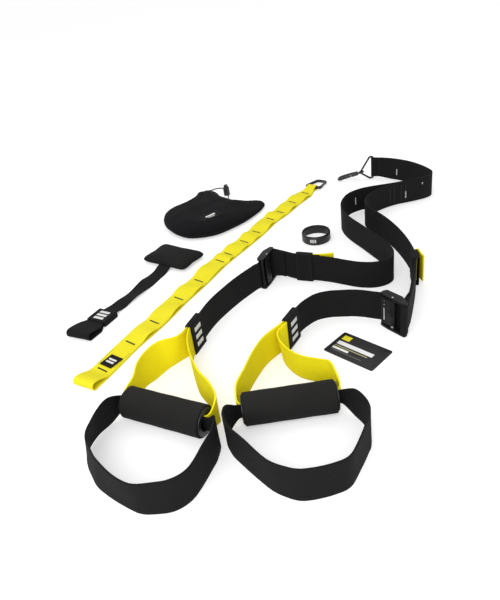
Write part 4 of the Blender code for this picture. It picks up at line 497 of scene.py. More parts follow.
def rounded_outline(corners, radii, steps=8):
    """A plan outline through the corners, each an arc of its radius that touches both of its sides."""
    corners = [np.array(corner, float) for corner in corners]
    radii = np.broadcast_to(radii, len(corners))
    outline = []
    for i, corner in enumerate(corners):
        before = corners[i - 1] - corner
        after = corners[(i + 1) % len(corners)] - corner
        length_before, length_after = np.linalg.norm(before), np.linalg.norm(after)
        before, after = before / length_before, after / length_after
        half = acos(max(-1.0, min(1.0, float(before @ after)))) / 2
        cut = min(radii[i] / tan(half), 0.49 * length_before, 0.49 * length_after)
        bow = cut * tan(half)
        middle = corner + unit(before + after) * bow / sin(half)
        start, end = corner + before * cut - middle, corner + after * cut - middle
        sweep = atan2(start[0] * end[1] - start[1] * end[0], float(start @ end))
        turn = sweep * np.linspace(0, 1, steps + 1)[:, None]
        outline.append(middle + np.cos(turn) * start + np.sin(turn) * np.array((-start[1], start[0])))
    return np.concatenate(outline)


def box_corners(half_x, half_y):
    """The four corners of a centred rectangle."""
    return [(-half_x, -half_y), (half_x, -half_y), (half_x, half_y), (-half_x, half_y)]


def resampled(points, step, closed=False):
    """Points at even steps along a line: each coordinate read at even running lengths."""
    points = np.array(points, float)
    if closed:
        points = np.concatenate((points, points[:1]))
    run = running(points)
    out = read_at(np.linspace(0, run[-1], max(4, int(round(run[-1] / step))) + 1), run, points)
    return out[:-1] if closed else out


def filled_in(outline):
    """An outline with three more points on each of its sides."""
    share = np.linspace(0, len(outline), 4 * len(outline), endpoint=False)
    index = np.floor(share).astype(int)
    part = (share - index)[:, None]
    return outline[index] * (1 - part) + outline[(index + 1) % len(outline)] * part


def stacked(outline, levels):
    """A ring of the outline for each (scale, height)."""
    return np.array([np.column_stack((outline * scale, np.full(len(outline), z))) for scale, z in levels])


def placed(points, matrix):
    """Points of any grid turned and moved by a 4 x 4 matrix."""
    matrix = np.array(matrix)
    return points @ matrix[:3, :3].T + matrix[:3, 3]


def stood(spot, height, turn):
    """A matrix that stands a piece at a place of the layout, turned about Z by an angle, in the model's frame."""
    return Matrix.Translation((spot[0] + OFFSET[0], spot[1] + OFFSET[1], height)) @ Matrix.Rotation(turn, 4, "Z")


def flat_place(spot, degrees, height=0.0):
    """The same matrix for a heading in degrees."""
    return stood(spot, height, radians(degrees))


def axes_matrix(x_axis, y_axis, z_axis, spot):
    """A matrix from its three axes and its place."""
    return Matrix(((*x_axis, 0), (*y_axis, 0), (*z_axis, 0), (*spot, 1))).transposed()


def square(spot, x_direction, up):
    """A matrix at a spot with its X along a direction and its Z out of the surface."""
    up = unit(np.array(up, float))
    x_axis = np.array(x_direction, float)
    x_axis = unit(x_axis - up * (x_axis @ up))
    return axes_matrix(x_axis, np.cross(up, x_axis), up, spot)


# Surfaces: each shell is a dictionary of points, quads, end caps and its UV grid
def uv_grid(down, along):
    """A UV grid whose first coordinate follows the grid's rows and whose second follows its columns."""
    return np.stack(np.meshgrid(down, along, indexing="ij"), axis=-1)


def wrapped(flat):
    """A UV grid with its first column again past the last one, and its last row twice."""
    flat = np.concatenate((flat, flat[:, :1]), axis=1)
    return np.concatenate((flat, flat[-1:]), axis=0)


def shell(points, uv=None, wrap=(False, False), caps=False):
    """A surface over a grid of points; quad (i, j) joins points i, j to i + 1, j + 1, and wraps if told to."""
    rows, columns = points.shape[:2]
    i, j = np.meshgrid(np.arange(rows if wrap[0] else rows - 1), np.arange(columns if wrap[1] else columns - 1),
                       indexing="ij")
    ni, nj = (i + 1) % rows, (j + 1) % columns
    quads = np.stack((i * columns + j, i * columns + nj, ni * columns + nj, ni * columns + j), axis=-1).reshape(-1, 4)
    if uv is None:
        uv = uv_grid(np.linspace(0, 1, rows + 1), np.linspace(0, 1, columns + 1))
    corners = np.stack((uv[i, j], uv[i, j + 1], uv[i + 1, j + 1], uv[i + 1, j]), axis=-2).reshape(-1, 4, 2)
    ends = [np.arange(columns)[::-1], (rows - 1) * columns + np.arange(columns)] if caps else []
    made = {"points": points.reshape(-1, 3), "quads": quads, "uv": corners, "ends": ends}
    if caps or all(wrap):
        turn_outwards(made)
    return made


def turn_outwards(made):
    """Reverses a closed shell's faces where its volume, a sixth of the sum of corner products, is negative."""
    points, quads = made["points"], made["quads"]
    middle = points.mean(axis=0)
    a, b, c, d = (points[quads[:, k]] - middle for k in range(4))
    volume = (a * np.cross(b, c)).sum() + (a * np.cross(c, d)).sum()
    for end in made["ends"]:
        fan = points[end] - middle
        volume += (fan[0] * np.cross(fan[1:-1], fan[2:])).sum()
    if volume < 0:
        turn_over(made)


def turn_over(made):
    """Reverses a shell's faces."""
    made["quads"] = made["quads"][:, ::-1]
    made["uv"] = made["uv"][:, ::-1]
    made["ends"] = [end[::-1] for end in made["ends"]]


def marked(made, index):
    """A shell that takes the finish of that index."""
    made["finish"] = index
    return made


def add(name, shells, finishes, nodes=(), body="straps", weld=0.0):
    """Builds one piece from shells in the named finishes, hangs it on its body and hides the solids that it replaces.

    A shell's own index says which finish it takes; weld merges points that lie closer than that.
    """
    points, faces, uvs, marks = [], [], [], []
    base = 0
    for made in shells:
        points.append(made["points"])
        new = (made["quads"] + base).tolist() + [(np.array(end) + base).tolist() for end in made["ends"]]
        faces += new
        uvs += [made["uv"].reshape(-1, 2), *(np.zeros((len(end), 2)) for end in made["ends"])]
        marks += [made.get("finish", 0)] * len(new)
        base += len(made["points"])
    mesh = bpy.data.meshes.new(name)
    mesh.from_pydata(np.concatenate(points).tolist(), [], faces)
    layer = mesh.uv_layers.new(name="UVMap")
    layer.data.foreach_set("uv", np.concatenate(uvs).astype(np.float32).ravel())
    for label in finishes:
        mesh.materials.append(finish(label))
    mesh.polygons.foreach_set("material_index", np.array(marks, np.int32))
    if weld:
        shape = bmesh.new()
        shape.from_mesh(mesh)
        bmesh.ops.remove_doubles(shape, verts=shape.verts, dist=weld)
        shape.to_mesh(mesh)
        shape.free()
    return settle(link(name, mesh, SHARP_DEG), nodes, body)


def link(name, mesh, sharp_deg):
    """A smooth object of a mesh, with its edges sharp past an angle, linked to the scene."""
    mesh.shade_smooth()
    mesh.set_sharp_from_angle(angle=radians(sharp_deg))
    mesh.update()
    piece = bpy.data.objects.new(name, mesh)
    bpy.context.scene.collection.objects.link(piece)
    return piece


def settle(piece, nodes, body):
    """Hangs a finished piece on its body, where one is given, and hides the solids that it replaces."""
    if body:
        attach(piece, body)
    if nodes:
        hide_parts(*nodes)
    return piece


def finished_copy(node, name, label, body="straps", bevel=0.0003, crease_deg=35.0):
    """A rigid node's own shape with its loose triangles merged and its edges broken by a small bevel."""
    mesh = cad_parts[node].data.copy()
    mesh.name = name
    shape = bmesh.new()
    shape.from_mesh(mesh)
    bmesh.ops.remove_doubles(shape, verts=shape.verts, dist=1e-6)
    bmesh.ops.dissolve_limit(shape, angle_limit=radians(1.5), verts=shape.verts, edges=shape.edges)
    shape.to_mesh(mesh)
    shape.free()
    mesh.materials.clear()
    mesh.materials.append(finish(label))
    piece = link(name, mesh, crease_deg)
    if bevel:
        edge = piece.modifiers.new("broken edges", "BEVEL")
        edge.width = bevel
        edge.segments = 2
        edge.limit_method = "ANGLE"
        edge.angle_limit = radians(crease_deg)
        edge.harden_normals = True
    return settle(piece, [node], body)


# Hardware fades the straps' small waves, so that they stay clear of it: (x, y, reach)
QUIET_SPOTS = [(*RING_BAR, 0.045)]


def web_wave(points):
    """Sideways drift of standing webbing: two low sine waves of the place, faded to nothing by the hardware."""
    x, y, z = points[..., 0], points[..., 1], points[..., 2]
    wave = 0.6 * np.sin(47 * x + 31 * y + 18 * z) + 0.4 * np.sin(-38 * x + 59 * y + 1.7)
    fade = 1.0
    for spot_x, spot_y, reach in QUIET_SPOTS:
        away = np.hypot(x - spot_x - OFFSET[0], y - spot_y - OFFSET[1])
        fade = fade * ramp(away, reach, 2.2 * reach)
    return wave * fade


def web_profile(columns):
    """The webbing's section: shares across and along the thickness, with full selvedges and rounded edges."""
    share = np.linspace(0, 1, columns)
    body = 0.5 - 0.06 * np.exp(-((share - 0.5) / 0.42) ** 6)
    face = np.stack((0.012 + 0.976 * share, body), axis=1)
    turn = np.linspace(-0.5, 0.5, 5)[1:-1] * pi
    head = np.stack((0.988 + 0.012 * np.cos(turn), -0.44 * np.sin(turn)), axis=1)
    foot = np.stack((0.012 - 0.012 * np.cos(turn), 0.44 * np.sin(turn)), axis=1)
    return np.concatenate((face, head, face[::-1] * (1, -1), foot))


def standing_shell(rows):
    """Webbing on edge: at each row the section runs from foot to head, leaning by the row's lean, plus the wave.

    Every point is the row's place plus its normal times (lean times share up, thickness and wave).
    """
    keep = np.concatenate(([True], np.linalg.norm(np.diff(rows[:, :2], axis=0), axis=1) > 1e-5))
    rows = rows[keep]
    up, through = web_profile(15).T
    x, y, foot, head, lean, nx, ny = (rows[:, k, None] for k in range(7))
    side = lean * up + through * WEB_THICK
    points = np.stack((x + nx * side + OFFSET[0], y + ny * side + OFFSET[1], foot + (head - foot) * up), axis=-1)
    points[..., 0] += WAVE * web_wave(points)
    points[..., 1] += WAVE * web_wave(points[..., [1, 0, 2]] + 0.37)
    run = distances(rows)
    uv = uv_grid(np.append(run, run[-1]) * TEXTURE_SCALE, np.append(up, up[0]) * WEB_WIDTH * TEXTURE_SCALE)
    return shell(points, uv[..., ::-1], (False, True), caps=True)


def web_sleeve(matrix, length, stack, width):
    """A sleeve round webbing along X: a rounded band section, drawn in at its ends, carried along its length."""
    half_y, half_z = stack / 2 + GAP, width / 2 + GAP
    inner = filled_in(rounded_outline(box_corners(half_y, half_z), GAP, 4))
    outer = filled_in(rounded_outline(box_corners(half_y + SLEEVE_WALL, half_z + SLEEVE_WALL), SLEEVE_WALL, 4))
    along = np.linspace(-0.5, 0.5, 15)
    ends = np.concatenate(([-0.5], along, [0.5]))
    swell = np.concatenate(([0.0], 1 - 0.35 * np.abs(2 * along) ** 14, [0.0]))
    loops = inner + (outer - inner) * swell[:, None, None]
    x = np.broadcast_to((ends * length)[:, None, None], (*loops.shape[:2], 1))
    girth = np.linspace(0, 1, len(inner) + 1) * 2 * (stack + width)
    uv = uv_grid(np.append(ends, 0.5) * length, girth) * TEXTURE_SCALE
    return shell(placed(np.concatenate((x, loops), axis=-1), matrix), uv, (True, True))


def tube_shell(path, radius, sides=12, closed=False, up=UP):
    """A round section carried along a path: its point plus the radius times the cosine and sine of two normals.

    The first normal is the up direction made square to the path, the second is square to both.
    """
    path = np.array(path, float)
    tangent = unit(np.roll(path, -1, axis=0) - np.roll(path, 1, axis=0) if closed else np.gradient(path, axis=0))
    up = np.broadcast_to(np.array(up, float), path.shape)
    first = unit(up - np.einsum("ij,ij->i", up, tangent)[:, None] * tangent)
    second = np.cross(tangent, first)
    turn = np.linspace(0, 2 * pi, sides, endpoint=False)[:, None]
    points = path[:, None] + (first[:, None] * np.cos(turn) + second[:, None] * np.sin(turn)) * radius
    run = running(np.concatenate((path, path[:1]))) * TEXTURE_SCALE
    uv = uv_grid(run, np.linspace(0, 1, sides + 1))[..., ::-1]
    return shell(points, uv, (closed, True), caps=not closed)


def revolved_shell(profile, segments, matrix):
    """A profile of (distance along X, radius) turned about X: radius times cosine along Y and sine along Z."""
    profile = np.array(profile, float)
    x, radius = profile.T
    turn = np.linspace(0, 2 * pi, segments, endpoint=False)[:, None]
    points = np.stack((x + 0 * turn, radius * np.cos(turn), radius * np.sin(turn)), axis=-1)
    run = running(np.concatenate((profile, profile[:1])))
    around = np.linspace(0, 1, segments + 1) * 2 * pi * radius.max()
    return shell(placed(points, matrix), uv_grid(around, run)[..., ::-1] * TEXTURE_SCALE, (True, True))


def stitch_shells(starts, ends, outward, radius):
    """Stitches from starts to ends: a six-sided capsule, swollen at its middle and dipping in at both ends."""
    outward = np.broadcast_to(outward, starts.shape)
    along = ends - starts
    side = unit(np.cross(along, outward))
    level, girth, height = np.array(STITCH_FORM).T
    turn = np.linspace(0, 2 * pi, 6, endpoint=False)[:, None]
    centre = starts[:, None] + along[:, None] * level[:, None] + outward[:, None] * (height * radius)[:, None]
    ring = side[:, None] * np.cos(turn) + outward[:, None] * np.sin(turn)
    points = centre[:, :, None] + ring[:, None] * (girth * radius)[:, None, None]
    one = shell(points[0], None, (False, True), caps=True)
    shifts = np.arange(len(starts)) * len(one["points"])
    return {"points": points.reshape(-1, 3), "quads": (one["quads"] + shifts[:, None, None]).reshape(-1, 4),
            "uv": np.tile(one["uv"], (len(starts), 1, 1)),
            "ends": [end + shift for shift in shifts for end in one["ends"]]}


def tack_shell(middle, across, along, outward, length, width, radius):
    """A bar tack: a close zigzag of stitches as long as length across the strap and as wide as width along it."""
    count = max(4, int(length / ZIGZAG_STEP))
    share = np.linspace(-0.5, 0.5, count + 1)[:, None]
    zig = np.arange(count + 1)[:, None] % 2 - 0.5
    spots = middle + outward * radius * 0.35 + across * (share * length) + along * (zig * width)
    return stitch_shells(spots[:-1], spots[1:], outward, radius)


def seam_shell(path, outward, pitch, radius):
    """A line of stitches along a path, each a share of the pitch long."""
    path = resampled(path, pitch / 6)
    run = running(path)
    count = max(1, int(run[-1] / pitch))
    begin = np.arange(count) * run[-1] / count
    lift = outward * radius * 0.3
    starts, ends = read_at(begin, run, path), read_at(begin + STITCH_SHOWN * run[-1] / count, run, path)
    return stitch_shells(starts + lift, ends + lift, outward, radius)


def strap_spot(rows, run_at, up_share, sign):
    """The place on a standing strap's face at a running length and height; then across, along and out."""
    i = int(np.clip(np.searchsorted(distances(rows), run_at), 1, len(rows) - 1))
    x, y, foot, head, lean, nx, ny = rows[i]
    out = np.array((nx, ny, 0.0)) * sign
    rise = np.array((nx * lean, ny * lean, head - foot))
    spot = np.array((x, y, foot)) + rise * up_share + out * WEB_THICK / 2 + OFFSET
    return spot, unit(rise), np.array((ny, -nx, 0.0)), out


def web_tacks(faces, places, width, radius, index):
    """Bar tacks at each (running length, share of the height, length) on each face, a strap's rows and its side."""
    return [marked(tack_shell(*strap_spot(rows, run_at, up, sign), length, width, radius), index)
            for run_at, up, length in places for rows, sign in faces]


def embroidered_bar(matrix, half_x, half_y, rise):
    """A satin-stitched bar: a rounded plate whose height is the rise times one minus the edge distance to a power."""
    x, y = np.meshgrid(np.linspace(-1, 1, 13), np.linspace(-1, 1, 17), indexing="ij")
    swell = (1 - np.abs(x) ** 5) * (1 - np.abs(y) ** 5)
    points = np.stack((x * half_x, y * half_y, rise * swell), axis=-1)
    uv = uv_grid(np.linspace(-1, 1, 14) * half_x, np.linspace(-1, 1, 18) * half_y) * TEXTURE_SCALE
    return shell(placed(points, matrix), uv)


def woven_label(plane, half_x, half_y, inset, pitch, radius, bars, rise=0.0004):
    """The stitches round a label on a plane, and its plain bars: each (x, y, half its length, half its width)."""
    outline = rounded_outline(box_corners(half_x - inset, half_y - inset), inset * 0.4, 3)
    outline = np.column_stack((np.concatenate((outline, outline[:1])), np.zeros(len(outline) + 1)))
    shells = [marked(seam_shell(placed(outline, plane), np.array(plane)[:3, 2], pitch, radius), 1)]
    for x, y, bar_x, bar_y in bars:
        shells.append(marked(embroidered_bar(plane @ Matrix.Translation((x, y, 0)), bar_x, bar_y, rise), 2))
    return shells


# Finishes
def feed(tree, socket, value):
    """Gives a socket a plain value, or a link where the value is another node's socket."""
    if isinstance(value, bpy.types.NodeSocket):
        tree.links.new(value, socket)
    else:
        socket.default_value = value


def add_node(tree, kind, **inputs):
    """A shader node's first output; its inputs are values or sockets, named with _ for a space."""
    node = tree.nodes.new("ShaderNode" + kind)
    for label, value in inputs.items():
        feed(tree, node.inputs[label.replace("_", " ")], value)
    return node.outputs[0]


def math_node(tree, operation, *values):
    """A Math node's result; each value is a number or a socket to read."""
    node = tree.nodes.new("ShaderNodeMath")
    node.operation = operation
    for socket, value in zip(node.inputs, values):
        feed(tree, socket, value)
    return node.outputs[0]


def mix_colours(tree, share, first, second):
    """A colour mix; the share is a socket, the colours are sockets or tuples."""
    node = tree.nodes.new("ShaderNodeMix")
    node.data_type = "RGBA"
    tree.links.new(share, node.inputs[0])
    for socket, value in ((node.inputs[6], first), (node.inputs[7], second)):
        feed(tree, socket, (*value[:3], 1.0) if isinstance(value, tuple) else value)
    return node.outputs[2]


def noise(tree, vector, scale, detail=3.0, roughness=0.55):
    """A Noise Texture's value at a vector."""
    return add_node(tree, "TexNoise", Vector=vector, Scale=scale, Detail=detail, Roughness=roughness)


def halves(tree, vector):
    """A vector's first two coordinates."""
    node = tree.nodes.new("ShaderNodeSeparateXYZ")
    tree.links.new(vector, node.inputs[0])
    return node.outputs[0], node.outputs[1]


def new_group(name, inputs, outputs):
    """A shader node group: inputs by name with a number, or None for a vector, and number outputs by name."""
    group = bpy.data.node_groups.new(name, "ShaderNodeTree")
    for label, default in inputs.items():
        kind = "NodeSocketVector" if default is None else "NodeSocketFloat"
        socket = group.interface.new_socket(label, in_out="INPUT", socket_type=kind)
        if default is not None:
            socket.default_value = default
    for label in outputs:
        group.interface.new_socket(label, in_out="OUTPUT", socket_type="NodeSocketFloat")
    return group, group.nodes.new("NodeGroupInput").outputs, group.nodes.new("NodeGroupOutput").inputs


def weave_group():
    """Plain weave: each rib is a parabola across, raised and sunk by a sine that shifts half a turn per rib."""
    group, source, sink = new_group("Webbing weave", {"UV": None, "Rib": 0.11, "Pick": 0.17, "Fuzz": 0.25},
                                    ("Height", "Mottle"))
    do = partial(math_node, group)
    u, v = halves(group, source["UV"])
    across = do("DIVIDE", u, source["Rib"])
    inside = do("MULTIPLY_ADD", do("FRACT", across), 2.0, -1.0)
    round_rib = do("SUBTRACT", 1.0, do("MULTIPLY", inside, inside))
    half = do("MULTIPLY", do("PINGPONG", do("FLOOR", across), 1.0), 0.5)
    phase = do("ADD", do("DIVIDE", v, source["Pick"]), half)
    lift = do("MULTIPLY_ADD", do("SINE", do("MULTIPLY", phase, 2 * pi)), 0.3, 0.7)
    fuzz = do("SUBTRACT", noise(group, source["UV"], 22.0, 3.0, 0.7), 0.5)
    rough = do("MULTIPLY", fuzz, source["Fuzz"])
    group.links.new(do("ADD", do("MULTIPLY", round_rib, lift), rough), sink["Height"])
    group.links.new(noise(group, source["UV"], 0.9, 4.0, 0.6), sink["Mottle"])
    return group


def grain_group():
    """Moulded or foamed grain: two octaves of noise and small pits from the distance to scattered points."""
    group, source, sink = new_group("Moulded grain", {"Vector": None, "Scale": 900.0, "Pits": 0.3},
                                    ("Height", "Mottle"))
    do = partial(math_node, group)
    fine = noise(group, source["Vector"], source["Scale"], 3.0, 0.5)
    cells = add_node(group, "TexVoronoi", Vector=source["Vector"], Scale=do("MULTIPLY", source["Scale"], 0.8))
    group.links.new(do("ADD", fine, do("MULTIPLY", cells, source["Pits"])), sink["Height"])
    group.links.new(noise(group, source["Vector"], 26.0, 4.0, 0.6), sink["Mottle"])
    return group


def scuff_group():
    """Handling marks: a broad patch of noise cut by a fine one, so that scuffs come in broken streaks."""
    group, source, sink = new_group("Handling scuffs", {"Vector": None, "Amount": 0.4}, ("Mask",))
    stretched = add_node(group, "Mapping", Vector=source["Vector"], Scale=(1.0, 1.0, 3.5))
    broad = noise(group, source["Vector"], 55.0)
    both = math_node(group, "MULTIPLY", broad, noise(group, stretched, 420.0, 4.0, 0.7))
    edge = add_node(group, "MapRange", Value=both, From_Min=0.26, From_Max=0.42)
    group.links.new(math_node(group, "MULTIPLY", edge, source["Amount"]), sink["Mask"])
    return group


def bar_group():
    """A rectangle's mask on a UV map: 1 where both coordinates lie between their two limits."""
    group, source, sink = new_group("Printed bar", {"UV": None, "Left": 0.0, "Right": 1.0, "Low": 0.0, "High": 1.0},
                                    ("Mask",))
    do = partial(math_node, group)
    u, v = halves(group, source["UV"])
    mask = do("GREATER_THAN", u, source["Left"])
    for part in (do("LESS_THAN", u, source["Right"]), do("GREATER_THAN", v, source["Low"]),
                 do("LESS_THAN", v, source["High"])):
        mask = do("MULTIPLY", mask, part)
    group.links.new(mask, sink["Mask"])
    return group


GROUP_MAKERS = {"weave": weave_group, "grain": grain_group, "scuffs": scuff_group, "bar": bar_group}
GROUPS = {}
FINISHES = {}


def shared(tree, name, **inputs):
    """The outputs of a node of one of the shared groups, which is built when it is first asked for."""
    if name not in GROUPS:
        GROUPS[name] = GROUP_MAKERS[name]()
    node = tree.nodes.new("ShaderNodeGroup")
    node.node_tree = GROUPS[name]
    for label, value in inputs.items():
        feed(tree, node.inputs[label], value)
    return node.outputs


def start_finish(name, colour, roughness, metallic=0.0, **plain):
    """A material, its Principled shader and its node tree; plain holds the sockets that stay at one value."""
    material = bpy.data.materials.new(name)
    material.use_nodes = True
    material.diffuse_color = (*colour[:3], 1.0)
    tree = material.node_tree
    shader = tree.nodes["Principled BSDF"]
    plain.update(Base_Color=(*colour[:3], 1.0), Roughness=roughness, Metallic=metallic)
    for label, value in plain.items():
        shader.inputs[label.replace("_", " ")].default_value = value
    return material, shader, tree


def coordinates(tree, output):
    """The object's or the UV map's coordinates."""
    return tree.nodes.new("ShaderNodeTexCoord").outputs[output]


def surface(tree, shader, colour, height, strength, distance):
    """Links a colour, and a Bump node from a height, to the shader."""
    tree.links.new(colour, shader.inputs["Base Color"])
    bump = add_node(tree, "Bump", Strength=strength, Distance=distance, Height=height)
    tree.links.new(bump, shader.inputs["Normal"])


def woven_finish(name, dark, light, rib, pick, strength, sheen=0.0):
    """Woven nylon: painted shade makes the colour dark between the yarns, where the weave sinks, and light on them;
    mottled along the strap.
    """
    material, shader, tree = start_finish(name, light, 0.86, Sheen_Weight=sheen, Sheen_Roughness=0.45,
                                          Specular_IOR_Level=0.14)
    weave = shared(tree, "weave", UV=coordinates(tree, "UV"), Rib=rib, Pick=pick)
    spread = math_node(tree, "MULTIPLY_ADD", weave["Mottle"], 0.5, -0.25)
    # Painted shade: the colour follows the weave's height, dark where it sinks between the yarns
    colour = mix_colours(tree, math_node(tree, "ADD", weave["Height"], spread), dark, light)
    surface(tree, shader, colour, weave["Height"], strength, 0.0005)
    return material


def grained_finish(name, dark, light, roughness, scale, pits, strength, distance, **plain):
    """Foam, rubber or moulded plastic: grain in the surface and a soft mottle in its colour."""
    material, shader, tree = start_finish(name, light, roughness, **plain)
    grain = shared(tree, "grain", Vector=coordinates(tree, "Object"), Scale=scale, Pits=pits)
    surface(tree, shader, mix_colours(tree, grain["Mottle"], dark, light), grain["Height"], strength, distance)
    return material


def metal_finish(name, colour, worn, roughness, metallic, **plain):
    """Coated or bare metal: scuffs show the worn colour and are a little rougher, over a fine grain."""
    material, shader, tree = start_finish(name, colour, roughness, metallic, **plain)
    place = coordinates(tree, "Object")
    scuffs = shared(tree, "scuffs", Vector=place, Amount=0.5)["Mask"]
    tree.links.new(math_node(tree, "MULTIPLY_ADD", scuffs, 0.25, roughness), shader.inputs["Roughness"])
    grain = shared(tree, "grain", Vector=place, Scale=1400.0)
    surface(tree, shader, mix_colours(tree, scuffs, colour, worn), grain["Height"], 0.15, 0.0001)
    return material


def printed_finish(name, ground, marks):
    """A printed card: each mark is (left, right, low, high, colour) in shares of the face."""
    material, shader, tree = start_finish(name, ground, 0.45, Specular_IOR_Level=0.3)
    uv = coordinates(tree, "UV")
    colour = mix_colours(tree, noise(tree, uv, 5.0, 4.0), shade(ground, 0.8), shade(ground, 1.25))
    for left, right, low, high, ink in marks:
        bar = shared(tree, "bar", UV=uv, Left=left, Right=right, Low=low, High=high)
        colour = mix_colours(tree, bar["Mask"], colour, ink)
    grain = shared(tree, "grain", Vector=coordinates(tree, "Object"), Scale=1500.0)
    surface(tree, shader, colour, grain["Height"], 0.08, 0.0001)
    return material


def meshed_finish(name, dark, light):
    """Mesh cloth: round holes on a diamond grid, sunk and darkened with painted shade, from the product of two crossed
    sine waves.
    """
    material, shader, tree = start_finish(name, light, 0.88, Specular_IOR_Level=0.12)
    do = partial(math_node, tree)
    u, v = halves(tree, coordinates(tree, "UV"))
    first, second = (do("SINE", do("MULTIPLY", do(way, u, v), 24.0)) for way in ("ADD", "SUBTRACT"))
    hole = add_node(tree, "MapRange", Value=do("MULTIPLY", first, second), From_Min=0.25, From_Max=0.6)
    mottle = noise(tree, coordinates(tree, "Object"), 30.0, 4.0)
    cloth = mix_colours(tree, mottle, shade(light, 0.75), shade(light, 1.25))
    height = do("SUBTRACT", do("MULTIPLY", mottle, 0.4), hole)
    # Painted shade: the holes take the dark colour
    surface(tree, shader, mix_colours(tree, hole, cloth, dark), height, 0.5, 0.0005)
    return material


def shade(colour, factor):
    """A colour made darker or lighter."""
    return tuple(value * factor for value in colour)


def grey(level, other=None):
    """A grey, with its blue at another level where one is given."""
    return (level, level, level if other is None else other)


def finish(label):
    """One of the set's finishes, made when it is first asked for, in the colours of the look settings."""
    if label in FINISHES:
        return FINISHES[label]
    look = bpy.context.scene.trainer_look
    black, yellow, lemon = tuple(look.black_web), tuple(look.yellow_web), tuple(look.lemon_web)
    foam = tuple(look.foam)
    weave = (look.rib * TEXTURE_SCALE, look.pick * TEXTURE_SCALE)
    thread = (0.7, 2500.0, 0.2, 0.2, 0.0001)
    dull = {"Specular_IOR_Level": 0.14}
    makers = {
        # The woven finishes' first colour is painted shade: it shows between the yarns
        "black_web": (woven_finish, "webbing_black", shade(black, 0.4), black, *weave, 0.6),
        "yellow_web": (woven_finish, "webbing_yellow", shade(yellow, 0.84), yellow, *weave, 0.35),
        "lemon_web": (woven_finish, "anchor_yellow", shade(lemon, 0.86), lemon, *weave, 0.35),
        "cord_black": (woven_finish, "cord_black", grey(0.006), grey(0.022), 0.125, 0.2, 0.5, 0.1),
        "label": (woven_finish, "label_black", grey(0.005, 0.006), grey(0.012, 0.013), 0.05, 0.05, 0.3),
        "pad": (woven_finish, "pad_cloth", grey(0.006), (0.0135, 0.0130, 0.0125), 0.045, 0.045, 0.4),
        "foam": (partial(grained_finish, Specular_IOR_Level=0.18), "grip_foam", shade(foam, 0.75), shade(foam, 1.2),
                 0.92, look.foam_grain, 0.5, 0.45, 0.0005),
        "plastic": (grained_finish, "black_plastic", grey(0.010, 0.011), grey(0.020, 0.021), 0.42, 1200.0, 0.15, 0.2,
                    0.0002),
        "rubber": (partial(grained_finish, Specular_IOR_Level=0.35), "band_rubber", grey(0.007, 0.009),
                   grey(0.012, 0.014), 0.38, 1500.0, 0.1, 0.12, 0.0001),
        "buckle": (partial(metal_finish, **dull), "buckle_black", grey(0.006, 0.0065), grey(0.06, 0.063), 0.42, 0.1),
        "metal": (metal_finish, "black_metal", grey(0.030, 0.033), grey(0.16, 0.17), 0.26, 0.85),
        "steel": (metal_finish, "spring_steel", grey(0.55, 0.56), grey(0.35, 0.36), 0.28, 1.0),
        # The bag's first colour is painted shade in the mesh's holes
        "bag": (meshed_finish, "bag_cloth", grey(0.004, 0.005), tuple(look.bag)),
        "card": (printed_finish, "card_print", grey(0.014, 0.015), CARD_MARKS),
        "black_thread": (grained_finish, "thread_black", grey(0.010), grey(0.020), *thread),
        "yellow_thread": (grained_finish, "thread_yellow", shade(yellow, 0.75), yellow, *thread),
        "light_thread": (grained_finish, "thread_light", grey(0.58, 0.56), grey(0.78, 0.76), *thread),
    }
    maker, *values = makers[label]
    FINISHES[label] = maker(*values)
    return FINISHES[label]


# Rows of the standing straps
def main_strap_rows(side):
    """The rows of a main strap: out along its ply, round the buckle's fixed bar, and back along the sewn return."""
    base, from_bar = strand_line(side)
    ply = side["ply"]
    offset = eye_offsets(from_bar, LOOP_R)
    out = shifted(base, ply * offset)
    arc = turn_rows(base[-1, :2], LOOP_R, end_travel(base) + ply * pi / 2, -ply * pi, base[-1])
    back = backwards(shifted(base, -ply * offset)[from_bar < SEWN_TAIL])
    return lift_at_buckle(np.concatenate((out[:-1], arc, back[1:])), side), out


def lower_strap_rows(side):
    """The rows of a lower strap: free tail, the run through the cam, and the run down to the label sleeve."""
    base, from_bar = strand_line(side)
    tail_start = side["keeper_from_bar"] + TAIL_PAST_BAR + WEB_THICK
    wraps_bar = side["ply"] < 0
    tail_end = 0.0 if wraps_bar else 0.62 * BUCKLE_LENGTH
    rows = shifted(base, tail_offset(side, from_bar))[(from_bar < tail_start) & (from_bar >= tail_end)]
    if wraps_bar:
        start = end_travel(base) - pi / 2
        x_axis = heading(side["buckle_deg"])
        sweep = (atan2(x_axis[0], -x_axis[1]) - start) % (2 * pi)
        rows = np.concatenate((rows[:-1], turn_rows(base[-1, :2], LOOP_R + PITCH, start, sweep, base[-1])))
    down = [tuple(row[:5]) for row in (rows[-15], rows[-1])]
    in_buckle = [(x * BUCKLE_LENGTH, STRAP_LINE if y is None else y * BUCKLE_LENGTH) for x, y in side["tail_turn"]]
    in_buckle += [(x, STRAP_LINE) for x in (CAM_PIN_X, (CAM_PIN_X + END_BAR_X) / 2, END_BAR_X,
                                            END_BAR_X - 2 * BUCKLE_BAR_R)]
    down += [at(*buckle_plan(side, x, y)) for x, y in in_buckle]
    down += all_at(side["lower"])
    middle, along = np.array(side["sleeve"]), heading(side["sleeve_deg"])
    down += all_at(middle + along * share * SLEEVE_LENGTH for share in (-0.5, -0.1, 0.3))
    down = with_normals(smooth_rows(down, 12, lead=1))
    return lift_at_buckle(np.concatenate((rows[:-1], down)), side)


